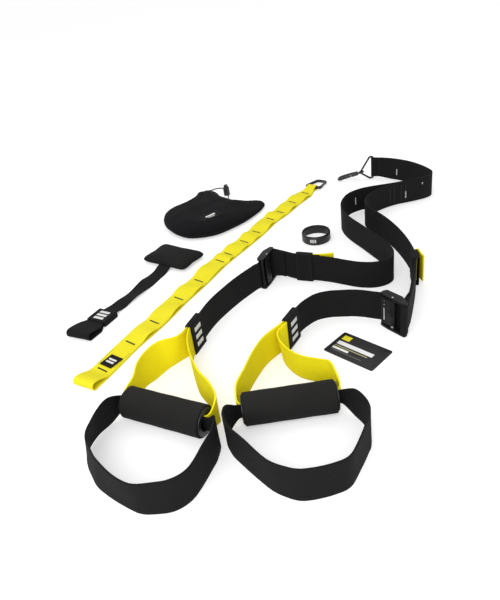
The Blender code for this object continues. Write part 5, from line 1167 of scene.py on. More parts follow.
def folded_tab_rows(side, base, from_bar, start):
    """A pull tab that leaves the keeper, turns through half a circle and comes back outside it, flaring out."""
    leave = start + KEEPER_LENGTH + 0.002
    inside = (from_bar > start + KEEPER_LENGTH / 2) & (from_bar < leave)
    outside = (from_bar > start + 0.008) & (from_bar < leave)
    near = tab_offset(side, from_bar)
    flare = 2 * FOLD_R + FOLD_FLARE * (1 - ramp(from_bar, start + 0.006, leave)) ** 1.5
    first = shifted(base, near)[inside]
    first = first[np.argsort(from_bar[inside])]
    back = shifted(base, near + flare)[outside]
    back = back[np.argsort(-from_bar[outside])]
    last = first[-1]
    back[:, 5:7] *= -1
    centre = last[:2] + last[5:7] * copysign(FOLD_R, last[5:7] @ (back[0, :2] - last[:2]))
    from_centre, step = last[:2] - centre, last[:2] - first[-4, :2]
    sweep = copysign(pi, from_centre[0] * step[1] - from_centre[1] * step[0])
    arc = turn_rows(centre, FOLD_R, atan2(from_centre[1], from_centre[0]), sweep, last)
    return lift_at_buckle(with_normals(np.concatenate((first[:-1], arc, back[1:]))), side)


def pull_tab_rows(side):
    """The rows of a pull tab, which peels away from the strap past the keeper."""
    base, from_bar = strand_line(side)
    start = side["keeper_from_bar"] - KEEPER_LENGTH / 2
    if side["ply"] > 0:
        return folded_tab_rows(side, base, from_bar, start)
    end = start + KEEPER_LENGTH + TAB_LENGTH
    peel = TAB_PEEL * ramp(from_bar, start + KEEPER_LENGTH, end + TAB_LENGTH / 2)
    chosen = (from_bar > start + WEB_THICK) & (from_bar < end)
    return lift_at_buckle(shifted(base, tab_offset(side, from_bar) - peel)[chosen], side)


def keeper_matrix(side):
    """The keeper's place round the three plies that it holds, in the model's frame."""
    line, from_bar = strand_line(side)
    i = int(np.argmin(np.abs(from_bar - side["keeper_from_bar"])))
    plies = (side["ply"] * HALF_PITCH, tail_offset(side, from_bar)[i], tab_offset(side, from_bar)[i])
    row = shifted(lift_at_buckle(line, side), (min(plies) + max(plies)) / 2)[i]
    return stood(row, (row[2] + row[3]) / 2, atan2(row[6], row[5]) - pi / 2)


def yellow_sling_rows(side):
    """The rows of the yellow webbing: out of the sleeve, through the grip, and back to the sleeve."""
    middle, along = np.array(side["sleeve"]), heading(side["sleeve_deg"])
    normal = np.array((-along[1], along[0]))
    end = GRIP_LENGTH / 2
    sewn = [all_at(middle + along * share * SLEEVE_LENGTH + normal * sign * PITCH for share in (-0.05, 0.25, 0.52))
            for sign in (-1, 1)]
    rows = sewn[0] + all_at(side["near_branch"])
    rows += [tucked(side, -end - a * GRIP_R, b * GRIP_R, share) for a, b, share in SLING_TURN]
    rows += [tucked(side, share * end, 0.0) for share in (-0.92, -0.4, 0.4, 0.92)]
    rows += [tucked(side, end + a * GRIP_R, b * GRIP_R, share) for a, b, share in reversed(SLING_TURN)]
    rows += all_at(side["far_branch"]) + sewn[1][::-1]
    return with_normals(smooth_rows(rows))


def foot_cradle_rows(side):
    """The rows of the black foot loop, tucked into both ends of the grip."""
    end = GRIP_LENGTH / 2
    rows = [tucked(side, -end - a * GRIP_R, b * PITCH, share) for a, b, share in CRADLE_TURN]
    rows += all_at(side["cradle"])
    rows += [tucked(side, end + a * GRIP_R, b * PITCH, share) for a, b, share in reversed(CRADLE_TURN)]
    rows = creased(smooth_rows(rows), np.array(side["bends"]))
    run = distances(rows)
    middle_part = ramp(run / run[-1], 0.16, 0.30) * (1 - ramp(run / run[-1], 0.72, 0.86))
    rows[:, 4] += middle_part * 0.0010 * np.sin(run * 62 + 1.7 * side["ply"])
    rows[:, 3] += middle_part * 0.0007 * np.sin(run * 80 + 0.6 * side["ply"])
    return with_normals(rows)


def creased(rows, bends, round_off=0.009, strength=0.65):
    """Draws a route nearly straight from bend to bend, as stiff webbing lies, with each bend a little rounded.

    The straight line is read at nine places up to round_off each way and averaged, which rounds its corners.
    """
    run = distances(rows)
    stops = bends[:, 0] * run[-1]
    inside = ramp(run, stops[0], stops[0] + 0.016) * (1 - ramp(run, stops[-1] - 0.010, stops[-1]))
    straight = np.mean([read_at(run + step, stops, bends[:, 1:]) for step in np.linspace(-round_off, round_off, 9)],
                       axis=0)
    made = rows.copy()
    made[:, :2] += (inside * strength)[:, None] * (straight - rows[:, :2])
    return made


def anchor_sling_rows():
    """The rows of the doubled sling: in along one ply, round the ring's bar, and back along the other."""
    base = with_normals(smooth_rows(all_at([RING_BAR, *SLING_ROUTE])))
    run = distances(base)
    near = 1 - ramp(run, 0, WEB_WIDTH)
    base[:, 2] += near * (RING_WEB_FOOT - SLEEVE_RISE)
    base[:, 3] += near * (RING_WEB_HEAD - SLEEVE_RISE - WEB_WIDTH)
    offset = eye_offsets(run, RING_LOOP_R)
    first = backwards(shifted(base, -offset))
    facing = atan2(base[0, 6], base[0, 5])
    arc = turn_rows(base[0, :2], RING_LOOP_R, facing + pi, -pi, base[0])
    return np.concatenate((first[:-1], arc, shifted(base, offset)[1:])), base


# Straps that lie flat
def flat_frames(line, path):
    """Centre, direction along, and side of a flat strap at each point of its (distance, height) side path."""
    run = distances(line)
    inside = np.clip(path[:, 0], 0, run[-1])
    along = unit(read_at(inside, run, unit(np.gradient(line, axis=0))))
    plan = read_at(inside, run, line) + (path[:, 0] - inside)[:, None] * along
    centre = np.column_stack((plan, path[:, 1])) + OFFSET
    return centre, along, np.column_stack((-along[:, 1], along[:, 0], np.zeros(len(path))))


def flat_shell(line, path, widths, thick, closed=False, ripple=None):
    """Webbing lying flat: the strap's section carried along a side path, width across and thickness off the path.

    Each point is the path's centre, plus the side times the section's share of the width, plus the path's own
    normal times its share of the thickness; ripple adds a height for a distance and a share across.
    """
    centre, along, side = flat_frames(line, path)
    slope = np.gradient(path, axis=0)
    if closed:
        slope[0] = path[1] - path[-1]
        slope[-1] = path[0] - path[-2]
    slope = unit(slope)
    lift = np.column_stack((along * -slope[:, 1:], slope[:, 0]))
    width = np.interp(path[:, 0], *zip(*widths))
    across, through = web_profile(13).T
    across = across - 0.5
    points = (centre[:, None] + side[:, None] * (width[:, None] * across)[..., None]
              + lift[:, None] * (through * thick)[:, None])
    if ripple:
        points[..., 2] += ripple(path[:, :1], across, path[:, 1:])
    run = running(np.concatenate((path, path[:1] if closed else path[-1:])))
    uv = uv_grid(run, np.append(across, across[0]) * width.max()) * TEXTURE_SCALE
    return shell(points, uv[..., ::-1], (closed, True), caps=not closed)


def side_path(span, height):
    """A side path of distances and heights."""
    return np.stack(np.broadcast_arrays(span, height), axis=1)


def arc_path(middle, height, radius, start_deg, sweep_deg=180, steps=25):
    """A side path round an eye: the middle plus the radius times cosine and sine."""
    angles = np.radians(start_deg + sweep_deg * np.linspace(0, 1, steps))
    return side_path(middle + radius * np.cos(angles), height + radius * np.sin(angles))


def anchor_heights(distance, total):
    """Height of the anchor strap's upper ply: level at its tacks, a squared sine between them, up to its two eyes."""
    level = 1.5 * ANCHOR_THICK + GAP
    near_top = ANCHOR_THICK / 2 + 2 * ANCHOR_EYE_R
    far_top = ANCHOR_THICK / 2 + 2 * ANCHOR_ROD_LOOP
    tacks = np.array(ANCHOR_TACKS)
    i = np.clip(np.searchsorted(tacks, distance) - 1, 0, len(tacks) - 2)
    share = np.clip((distance - tacks[i]) / (tacks[i + 1] - tacks[i]), 0, 1)
    arch = ANCHOR_RIPPLE * np.sin(pi * share) ** 2 * (i > 0)
    rise = (near_top - level) * (1 - ramp(distance, 0, tacks[0] * 0.95))
    far_start = tacks[-1] + (total - tacks[-1]) * 0.2
    return level + arch + rise + (far_top - level) * ramp(distance, far_start, total)


# Hardware
def coil_path(radius, pitch, turns, per_turn=24):
    """A coil about Z: radius times cosine and sine, rising by its pitch each turn."""
    angles = np.linspace(0, 2 * pi * turns, turns * per_turn + 1)
    return np.stack((radius * np.cos(angles), radius * np.sin(angles), pitch * angles / (2 * pi)), axis=1)


def buckle_matrix(side):
    """The matrix of a buckle: its middle at half its height, with Z down."""
    x_axis, y_axis = buckle_axes(side)
    middle = np.array(side["buckle"]) + OFFSET[:2]
    return axes_matrix((*x_axis, 0), (*y_axis, 0), (0, 0, -1), (*middle, BUCKLE_HALF_WIDTH))


def hook_matrices():
    """The matrices of the ring, of the swivel's eye and of the hook, each carried by the one before."""
    ring = flat_place(RING_BAR, RING_DEG)
    reach = BARREL_X + BARREL_LENGTH / 2 + HOOK_LENGTH - HOOK_ROD_R
    slope = asin((RING_APEX - HOOK_ROD_R - GAP) / reach)
    eye = ring @ Matrix.Translation((RING_REACH, 0, RING_APEX))
    eye = eye @ Matrix.Rotation(radians(HOOK_DEG - RING_DEG), 4, "Z") @ Matrix.Rotation(slope, 4, "Y")
    hook = eye @ Matrix.Translation((BARREL_X + BARREL_LENGTH / 2, 0, 0)) @ Matrix.Rotation(pi, 4, "X")
    return ring, eye, hook


def carabiner_matrix(line):
    """The matrix of the carabiner, tilted so that its far end rests on the floor."""
    rod_height = ANCHOR_THICK / 2 + ANCHOR_ROD_LOOP
    length = CARABINER_LENGTH - 2 * CARABINER_ROD_R
    step = line[-1] - line[-2]
    seat = stood(line[-1], rod_height, atan2(step[1], step[0]))
    return seat @ Matrix.Rotation(asin((rod_height - CARABINER_ROD_R) / length), 4, "Y")


def clip_frame_shells(corners, rod_r, corner_r, hinge_share, nose_share, matrix):
    """A clip's open frame: a round rod along the rounded corners from hinge to nose, and the flat hinge tongue."""
    first, last = np.array(corners[0], float), np.array(corners[-1], float)
    along = unit(last - first)
    hinge, nose = first + (last - first) * hinge_share, first + (last - first) * nose_share
    shoulder = rod_r * 1.55
    path = np.concatenate(((hinge - along * shoulder)[None], rounded_outline(corners, corner_r, 12), nose[None]))
    path = path[np.concatenate(([True], np.linalg.norm(np.diff(path, axis=0), axis=1) > 1e-6))]
    frame_rod = tube_shell(np.column_stack((path, np.zeros(len(path)))), rod_r, 28)
    frame_rod["points"] = placed(frame_rod["points"], matrix)
    tongue, nose_r, back, side = rod_r * 0.8, rod_r * 0.88, -shoulder - rod_r * 0.5, rod_r * 0.7
    angles = np.radians(np.linspace(-108, 108, 25))
    round_end = np.stack((nose_r * np.cos(angles), nose_r * np.sin(angles)), axis=1)
    edge = tongue * 0.12
    drawn_in = 1 - edge / nose_r
    rings = stacked(np.concatenate(([(back, -side)], round_end, [(back, side)])),
                    ((drawn_in, -tongue / 2), (1.0, -tongue / 2 + edge), (1.0, tongue / 2 - edge),
                     (drawn_in, tongue / 2)))
    seat = matrix @ Matrix.Translation((*hinge, 0)) @ Matrix.Rotation(atan2(along[1], along[0]), 4, "Z")
    return [frame_rod, shell(placed(rings, seat), None, (False, True), caps=True)]


# Bag and pad surfaces
def bag_outline(step=0.002):
    """The bag's plan outline round its middle, as a smooth closed curve at even steps."""
    dense = smooth_rows(BAG_OUTLINE[-3:] + BAG_OUTLINE + BAG_OUTLINE[:3], 8)
    return resampled(dense[8 * 3:-(8 * 2 + 1)] - BAG_MIDDLE, step, closed=True)


def bag_folds(x, y):
    """Height of the bag's folds: for each fold a bell of the distance to its line, faded towards the line's ends."""
    rise = 0.0004 * np.sin(83 * x + 57 * y) + 0.0003 * np.sin(-61 * x + 113 * y + 0.8)
    for start, end, width, height in BAG_FOLDS:
        start, end = np.array(start), np.array(end)
        along = end - start
        share = ((x - start[0]) * along[0] + (y - start[1]) * along[1]) / (along @ along)
        near = np.clip(share, 0, 1)
        away = np.hypot(x - start[0] - near * along[0], y - start[1] - near * along[1])
        rise = rise + height * np.exp(-(away / width) ** 2) * ramp(share, -0.4, 0.3) * (1 - ramp(share, 0.6, 1.5))
    return rise


def bag_slump(x):
    """How full the bag is from left to right: its right lobe is empty and lies low."""
    return 1 - 0.5 * ramp(x, -0.03, 0.055)


def bag_top(spots):
    """Height of the bag's top at plan places: its level at the share of the way from the middle to the outline."""
    outline = bag_outline()
    angles = np.arctan2(outline[:, 1], outline[:, 0])
    order = np.argsort(angles)
    x, y = (spots - BAG_MIDDLE).T
    edge = np.interp(np.arctan2(y, x), angles[order], np.linalg.norm(outline, axis=1)[order], period=2 * pi)
    levels, scales = zip(*BAG_LEVELS[:2:-1])
    level = np.interp(np.hypot(x, y) / edge, scales, levels)
    return BAG_HEIGHT * bag_slump(spots[:, 0]) * level + bag_folds(*spots.T) * ramp(level, 0.3, 0.8)


def on_bag(spots, lift):
    """Plan places as points a little over the bag's top, in the model's frame."""
    return np.column_stack((spots, bag_top(spots) + lift)) + OFFSET


def bag_shell():
    """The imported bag: the outline scaled ring by ring from the floor's middle, out round its belly, up to the top."""
    knots = np.arange(len(BAG_LEVELS))
    profile = read_at(np.linspace(0, knots[-1], 64), knots, np.array(BAG_LEVELS))
    smooth = np.array((1, 2, 3, 2, 1)) / 9
    eased = [np.convolve(np.pad(column, 2, "edge"), smooth, "valid") for column in profile.T]
    profile[10:] = np.stack(eased, axis=1)[10:]
    profile[-1, 1] = 0.0
    level, scale = profile.T[:, :, None]
    x, y = (scale[..., None] * bag_outline() + BAG_MIDDLE).transpose(2, 0, 1)
    z = level * BAG_HEIGHT * bag_slump(x) + bag_folds(x, y) * ramp(level, 0.3, 0.8)
    points = np.stack((x, y, np.maximum(z, 0.0)), axis=-1) + OFFSET
    run = running(profile * (BAG_HEIGHT, 0.1))
    flat = wrapped(points[..., :2] * TEXTURE_SCALE)
    flat[..., 1] += np.append(run, run[-1])[:, None] * 30
    return shell(points, flat, (False, True), caps=True)


def pad_outline(step):
    """The pad's outline: a rounded rectangle whose sides are drawn in a little between its corners."""
    half = (PAD_LENGTH / 2 + PAD_SPREAD, PAD_WIDTH / 2 + PAD_SPREAD * 0.7)
    outline = resampled(rounded_outline(box_corners(*half), PAD_CORNER, 10), step, closed=True)
    turn = np.arctan2(outline[:, 1] / half[1], outline[:, 0] / half[0])
    return outline * (1 - 0.045 * np.cos(2 * turn) ** 4)[:, None]


def pad_shell(matrix):
    """The door pad: a rounded rectangle swept from the floor's middle to the top's, flat below and crowned above.

    At a share s of the way out, the rim's level is 0.42 of the height; the underside drops from it by 0.42 times
    the root of 1 - s^5, and the top rises by 0.58 times the root of 1 - s^2.6.
    """
    out = np.concatenate((np.linspace(0, 0.8, 8), 1 - 0.2 * (1 - np.linspace(0, 1, 11)[1:]) ** 2))
    low = PAD_RIM - PAD_RIM * (1 - out ** 5) ** 0.5
    high = PAD_RIM + (1 - PAD_RIM) * (1 - out ** 2.6) ** 0.5
    scale = np.concatenate((out, out[-2::-1]))[:, None]
    level = np.concatenate((low, high[-2::-1]))
    x, y = (scale[..., None] * pad_outline(0.0022)).transpose(2, 0, 1)
    dent = 0.0007 * np.sin(95 * x + 20 * y) * np.sin(70 * y + 1.0) * ramp(level, 0.5, 0.9)[:, None]
    z = level[:, None] * PAD_HEIGHT + dent * (scale < 0.999)
    flat = wrapped(np.stack((x, y), axis=-1))
    flat[..., 1] += np.append(level, level[-1])[:, None] * PAD_HEIGHT
    return shell(placed(np.stack((x, y, z), axis=-1), matrix), flat * TEXTURE_SCALE, (False, True), caps=True)


# Settings
def colour_setting(name, description, *default):
    """A colour."""
    return FloatVectorProperty(name=name, description=description, subtype="COLOR", size=3, min=0, max=1,
                               default=default)


def length_setting(name, description, default, low, high):
    """A length in metres."""
    return FloatProperty(name=name, description=description, subtype="DISTANCE", unit="LENGTH",
                         default=default, min=low, max=high)


class TrainerLook(PropertyGroup):
    """Colours and fine sizes of the set's surfaces."""
    black_web: colour_setting("Black webbing", "Colour of the black webbing", 0.0125, 0.0118, 0.0120)
    yellow_web: colour_setting("Yellow webbing", "Colour of the hand slings and pull tabs", 0.96, 0.83, 0.010)
    lemon_web: colour_setting("Lemon webbing", "Colour of the anchor strap", 0.90, 0.80, 0.026)
    foam: colour_setting("Grip foam", "Colour of the grips", 0.0150, 0.0143, 0.0138)
    bag: colour_setting("Bag cloth", "Colour of the mesh bag", 0.0048, 0.0048, 0.0060)
    rib: length_setting("Rib width", "Width of one lengthwise rib of the webbing", 0.0012, 0.0004, 0.004)
    pick: length_setting("Pick length", "Length of two crossings of the webbing's weave", 0.0018, 0.0005, 0.006)
    foam_grain: FloatProperty(
        name="Foam grain", description="How fine the foam's grain is, in grains a metre", default=850.0, min=100.0,
        max=4000.0)


class TrainerStitching(PropertyGroup):
    """Sizes of the threads."""
    thread: length_setting("Thread radius", "Radius of the sewing thread", 0.00025, 0.0001, 0.0006)
    pitch: length_setting("Stitch pitch", "Distance from one seam stitch to the next", 0.0027, 0.001, 0.006)
    tack_width: length_setting("Bar tack width", "Width of the black bar tacks on the anchor strap", 0.0034, 0.001,
                               0.005)


class TrainerStage(PropertyGroup):
    """Floor, light and camera."""
    floor: colour_setting("Floor", "Colour of the floor", 0.75, 0.75, 0.75)
    world: FloatProperty(
        name="Sky", description="Strength of the plain light from all sides", default=0.74, min=0, max=2)
    key: FloatProperty(
        name="Key light", description="Power of the large light behind the set", unit="POWER", default=7.0, min=0,
        max=200)
    fill: FloatProperty(
        name="Fill light", description="Power of the light by the camera", unit="POWER", default=24.0, min=0, max=200)
    height: length_setting("Camera height", "Height of the camera over the floor", 0.532, 0.1, 5)
    pitch: FloatProperty(
        name="Pitch", description="How far the camera looks down", subtype="ANGLE", unit="ROTATION",
        default=radians(32.0), min=0, max=pi / 2)
    roll: FloatProperty(
        name="Roll", description="How far the camera is turned about its own axis", subtype="ANGLE",
        unit="ROTATION", default=radians(8.4), min=-pi, max=pi)
    lens: FloatProperty(
        name="Focal length", description="Focal length in millimetres on a 36 mm wide sensor", default=34.8, min=10,
        max=200)


def ray_share(tree, *kinds):
    """One where the ray is of one of the kinds that the Light Path node tells apart."""
    path = tree.nodes.new("ShaderNodeLightPath")
    seen = path.outputs[kinds[0]]
    for kind in kinds[1:]:
        seen = math_node(tree, "MAXIMUM", seen, path.outputs[kind])
    return seen


# Pieces
class PieceOperator:
    """What the operators share: they finish on success and can be undone."""
    bl_options = {"REGISTER", "UNDO"}


class TRAINER_OT_stage(PieceOperator, Operator):
    """Adds the pale floor, the soft lights and the camera"""
    bl_idname = "trainer.stage"
    bl_label = "Floor, light and camera"

    def execute(self, context):
        scene = context.scene
        stage = scene.trainer_stage
        mesh = bpy.data.meshes.new("floor")
        mesh.from_pydata([(x, y, FLOOR_LEVEL) for x, y in box_corners(FLOOR_REACH, FLOOR_REACH)], [], [(0, 1, 2, 3)])
        floor = bpy.data.objects.new("floor", mesh)
        scene.collection.objects.link(floor)
        material, shader, tree = start_finish("pale_floor", stage.floor, 0.9, Specular_IOR_Level=0.1,
                                              Emission_Color=(1, 1, 1, 1))
        seen = ray_share(tree, "Is Camera Ray", "Is Glossy Ray")
        tree.links.new(math_node(tree, "MULTIPLY", seen, FLOOR_GLOW), shader.inputs["Emission Strength"])
        mesh.materials.append(material)
        world = bpy.data.worlds.new("plain light")
        world.use_nodes = True
        scene.world = world
        tree = world.node_tree
        back = tree.nodes["Background"]
        back.inputs["Color"].default_value = (1, 1, 1, 1)
        seen = ray_share(tree, "Is Camera Ray", "Is Glossy Ray", "Is Transmission Ray")
        share = math_node(tree, "MULTIPLY_ADD", seen, 1.0 - stage.world, stage.world)
        tree.links.new(share, back.inputs["Strength"])
        for name, power, size, spot, aim in (("key", stage.key, 2.4, (-0.5, 0.9, 2.2), (0.0, 0.1, 0.0)),
                                             ("fill", stage.fill, 1.8, (-0.5, -1.6, 1.15), (0.0, 0.0, 0.0))):
            lamp = bpy.data.lights.new(name, "AREA")
            lamp.shape = "DISK"
            lamp.size = size
            lamp.energy = power
            light = bpy.data.objects.new(name, lamp)
            scene.collection.objects.link(light)
            light.matrix_world = square(spot, (1.0, 0.0, 0.0), np.array(spot) - np.array(aim))
        lens = bpy.data.cameras.new("camera")
        lens.lens = stage.lens
        lens.sensor_width = 36.0
        lens.clip_start = 0.02
        lens.clip_end = 100.0
        camera = bpy.data.objects.new("camera", lens)
        scene.collection.objects.link(camera)
        forward = np.array((0, cos(stage.pitch), -sin(stage.pitch)))
        right = np.array((1.0, 0.0, 0.0))
        down = np.cross(forward, right)
        c, s = cos(stage.roll), sin(stage.roll)
        camera.matrix_world = axes_matrix(c * right + s * down, s * right - c * down, -forward,
                                          (OFFSET[0], OFFSET[1], stage.height))
        scene.camera = camera
        scene.view_settings.view_transform = "Standard"
        return {"FINISHED"}


class TRAINER_OT_drawstring(PieceOperator, Operator):
    """Adds the bag's drawstring and the cord lock on it"""
    bl_idname = "trainer.drawstring"
    bl_label = "Drawstring and cord lock"

    def execute(self, context):
        path = resampled(smooth_rows(DRAWSTRING, 12), 0.0012)
        path[:, 2] = np.maximum(path[:, 2], CORD_R)
        path = path + OFFSET
        cord = add("drawstring", [tube_shell(path, CORD_R, 14)], ["cord_black"], ["bag_drawstring"])
        body = finished_copy("cord_lock_body", "cord_lock_barrel", "plastic", bevel=FINE_BEVEL)
        button = finished_copy("cord_lock_button", "cord_lock_plunger", "plastic", "lock_button", FINE_BEVEL)
        spring = finished_copy("cord_lock_spring", "lock_coil", "steel", "", 0.0)
        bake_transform(spring)
        return {"FINISHED"}


class TRAINER_OT_anchor_sling(PieceOperator, Operator):
    """Adds the doubled black sling with its tacks"""
    bl_idname = "trainer.anchor_sling"
    bl_label = "Doubled sling"

    def execute(self, context):
        rows, base = anchor_sling_rows()
        thread = context.scene.trainer_stitching.thread
        total = distances(base)[-1]
        faces = [(shifted(base, sign * HALF_PITCH), sign) for sign in (-1, 1)]
        bars = [(run_at, 0.5, FORK_LENGTH) for run_at in (0.014, total - 0.006, total - 0.016)]
        shells = [standing_shell(rows), *web_tacks(faces, SLING_TACKS, LIGHT_TACK, thread, 1),
                  *web_tacks(faces, bars, FORK_BAR, thread, 2)]
        add("doubled_sling", shells, ["black_web", "light_thread", "black_thread"], ["anchor_sling"])
        return {"FINISHED"}


class TRAINER_OT_main_straps(PieceOperator, Operator):
    """Adds the two main straps with the box of stitches that closes each loop"""
    bl_idname = "trainer.main_straps"
    bl_label = "Main straps"

    def execute(self, context):
        thread = context.scene.trainer_stitching.thread
        for name, side in SIDES.items():
            rows, out_rows = main_strap_rows(side)
            end = distances(out_rows)[-1]
            face = [(lift_at_buckle(out_rows, side), side["ply"])]
            at_loop = [(end - from_bar, 0.5, LOOP_LENGTH) for from_bar in (0.011, 0.0225)]
            at_fork = [(run_at, 0.5, FORK_LENGTH) for run_at in (0.007, 0.017)]
            shells = [standing_shell(rows), *web_tacks(face, at_loop, LOOP_BAR, thread, 1),
                      *web_tacks(face, at_fork, FORK_BAR, thread, 1)]
            if name == "left":
                ply = shifted(strand_line(side)[0], side["ply"] * HALF_PITCH)
                shells += web_tacks([(ply, -1), (ply, 1)], STRAND_TACKS, LIGHT_TACK, thread, 2)
            add(name + "_strap", shells, ["black_web", "black_thread", "light_thread"], [name + "_main_strap"])
        return {"FINISHED"}


class TRAINER_OT_lower_straps(PieceOperator, Operator):
    """Adds the lower straps, their keepers and the yellow pull tabs"""
    bl_idname = "trainer.lower_straps"
    bl_label = "Lower straps, keepers and pull tabs"

    def execute(self, context):
        thread = context.scene.trainer_stitching.thread
        for name, side in SIDES.items():
            add(name + "_run", [standing_shell(lower_strap_rows(side))], ["black_web"], [name + "_lower_strap"])
            rows = pull_tab_rows(side)
            hems = [(run_at, 0.5, HEM_LENGTH) for run_at in (0.006, distances(rows)[-1] - 0.004)]
            add(name + "_tab", [standing_shell(rows), *web_tacks([(rows, -1), (rows, 1)], hems, HEM_BAR, thread, 1)],
                ["yellow_web", "yellow_thread"], [name + "_pull_tab"])
            matrix = keeper_matrix(side)
            stack = 3 * PITCH + KEEPER_SLACK
            shells = [web_sleeve(matrix, KEEPER_LENGTH, stack, WEB_WIDTH)]
            for sign in (-1, 1):
                for edge in (-1, 1):
                    line = np.array([(edge * (KEEPER_LENGTH / 2 - 0.003), sign * (stack / 2 + SLEEVE_RISE), z)
                                     for z in np.linspace(-WEB_WIDTH / 2, WEB_WIDTH / 2, 9)])
                    out = np.array(matrix)[:3, 1] * sign
                    shells.append(marked(seam_shell(placed(line, matrix), out, EDGE_PITCH, thread), 1))
            add(name + "_loop", shells, ["black_web", "black_thread"], [name + "_keeper"])
        return {"FINISHED"}


class TRAINER_OT_buckles(PieceOperator, Operator):
    """Adds the cam buckles: frames, levers, pins and springs, with bright steel inlays in the levers' slots as painted
    highlights
    """
    bl_idname = "trainer.buckles"
    bl_label = "Cam buckles"

    def execute(self, context):
        pitch = CAM_WIRE + 2 * GAP
        room = BUCKLE_HALF_GAP - GAP
        reach = END_BAR_X - CAM_PIN_X + BUCKLE_BAR_R * 0.5
        low, width = -room, 2 * room - 4 * pitch
        for name, side in SIDES.items():
            finished_copy(name + "_buckle_frame", name + "_frame", "buckle", bevel=CAST_BEVEL)
            finished_copy(name + "_cam_lever", name + "_lever", "buckle", name + "_cam")
            finished_copy(name + "_cam_pin", name + "_pin", "steel", bevel=0.0)
            seat = buckle_matrix(side)
            shells = []
            # Painted highlights: each slot of the lever gets a bright steel inlay for the glint seen there
            for start, end in LEVER_SLOTS:
                half = ((end - start) * width / 2 - GAP, abs(reach) * 0.10 - GAP)
                rings = stacked(rounded_outline(box_corners(*half), min(half) * 0.5, 4), GLINT_INLAY_LEVELS)
                middle = (CAM_PIN_X + reach * 0.72, CAM_PIN_Y + CAM_R * 0.98 - 0.0016,
                          low + (start + end) / 2 * width)
                glint_inlay = placed(rings, seat @ Matrix.Translation(middle) @ GLINT_INLAY_TURN)
                shells.append(shell(glint_inlay, None, (False, True), caps=True))
            add(name + "_lever_glint_inlays", shells, ["steel"], body=name + "_cam", weld=1e-6)
            path = coil_path(CAM_PIN_R + CAM_WIRE / 2 + 2 * GAP, pitch, CAM_TURNS)
            seat = seat @ Matrix.Translation((CAM_PIN_X, CAM_PIN_Y, room - CAM_WIRE / 2 - pitch * CAM_TURNS))
            add(name + "_coil", [tube_shell(placed(path, seat), CAM_WIRE / 2, 8)], ["steel"], [name + "_cam_spring"])
        return {"FINISHED"}


class TRAINER_OT_label_sleeves(PieceOperator, Operator):
    """Adds the black sleeves over the joins, with plain woven bars"""
    bl_idname = "trainer.label_sleeves"
    bl_label = "Label sleeves"

    def execute(self, context):
        thread = context.scene.trainer_stitching.thread
        bars = [(0.0, rise, 0.0095, 0.0038) for rise in (-0.0135, 0.0, 0.0135)]
        for name, side in SIDES.items():
            matrix = flat_place(side["sleeve"], side["sleeve_deg"], SLEEVE_RISE + WEB_WIDTH / 2)
            shells = [web_sleeve(matrix, SLEEVE_LENGTH, 3 * PITCH, WEB_WIDTH)]
            axes = np.array(matrix)[:3, :3]
            for sign in (-1, 1):
                spot = placed(np.array((0.0, sign * (1.5 * PITCH + SLEEVE_RISE), 0.0)), matrix)
                shells += woven_label(square(spot, axes[:, 0], axes[:, 1] * sign), SLEEVE_LENGTH / 2, WEB_WIDTH / 2,
                                      0.0024, EDGE_PITCH, thread, bars)
            add(name + "_sleeve", shells, LABEL, [name + "_label_sleeve"])
        return {"FINISHED"}


class TRAINER_OT_slings_and_cradles(PieceOperator, Operator):
    """Adds the yellow hand slings and the black foot cradles"""
    bl_idname = "trainer.slings_and_cradles"
    bl_label = "Hand slings and foot cradles"

    def execute(self, context):
        for name, side in SIDES.items():
            add(name + "_sling", [standing_shell(yellow_sling_rows(side))], ["yellow_web"], [name + "_yellow_sling"])
        for name, side in SIDES.items():
            add(name + "_cradle", [standing_shell(foot_cradle_rows(side))], ["black_web"], [name + "_foot_cradle"])
        return {"FINISHED"}


class TRAINER_OT_grips(PieceOperator, Operator):
    """Adds the foam grips with their tubes and end caps"""
    bl_idname = "trainer.grips"
    bl_label = "Hand grips"

    def execute(self, context):
        half, edge, blunt = GRIP_LENGTH / 2, GRIP_R * 0.11, 0.0004
        along = np.linspace(-half + edge, half - edge, 60)
        swell = 0.00012 * np.sin(along * 160 + 0.6) - 0.00018 * (1 - np.abs(along / half) ** 6)
        corner = np.linspace(0, pi / 2, 7)
        far = np.stack((half - edge + edge * np.sin(corner), GRIP_R - edge + edge * np.cos(corner)), axis=1)
        bore = [(half, GRIP_BORE_R + blunt), (half - blunt, GRIP_BORE_R), (-half + blunt, GRIP_BORE_R),
                (-half, GRIP_BORE_R + blunt)]
        skin = np.concatenate((far[::-1] * (-1, 1), np.stack((along, GRIP_R + swell), axis=1), far, bore))
        tube = rounded_outline([(-half, TUBE_BORE_R), (half, TUBE_BORE_R), (half, TUBE_R), (-half, TUBE_R)],
                               0.0003, 4)
        spigot, face = TUBE_BORE_R - GAP, half + GAP
        inner, back = spigot - CAP_WALL, face + CAP_FLANGE
        cap = rounded_outline([(half - CAP_DEPTH, inner), (back, inner), (back, CAP_FLANGE_R), (face, CAP_FLANGE_R),
                               (face, spigot), (half - CAP_DEPTH, spigot)],
                              (0.0003, 0.0007, 0.0007, 0.0003, 0.0002, 0.0003), 4)
        for name, side in SIDES.items():
            matrix = flat_place(side["grip"], side["grip_deg"], GRIP_R)
            body = name + "_grip"
            foam = add(name + "_foam", [revolved_shell(skin, 96, matrix)], ["foam"], [name + "_grip_foam"], body)
            add(name + "_tube", [revolved_shell(tube, 64, matrix)], ["plastic"], [name + "_grip_tube"], body)
            for end, sign in (("near", -1), ("far", 1)):
                add(name + "_cap_" + end, [revolved_shell(cap * (sign, 1), 64, matrix)], ["plastic"],
                    [name + "_grip_cap_" + end], body)
        return {"FINISHED"}


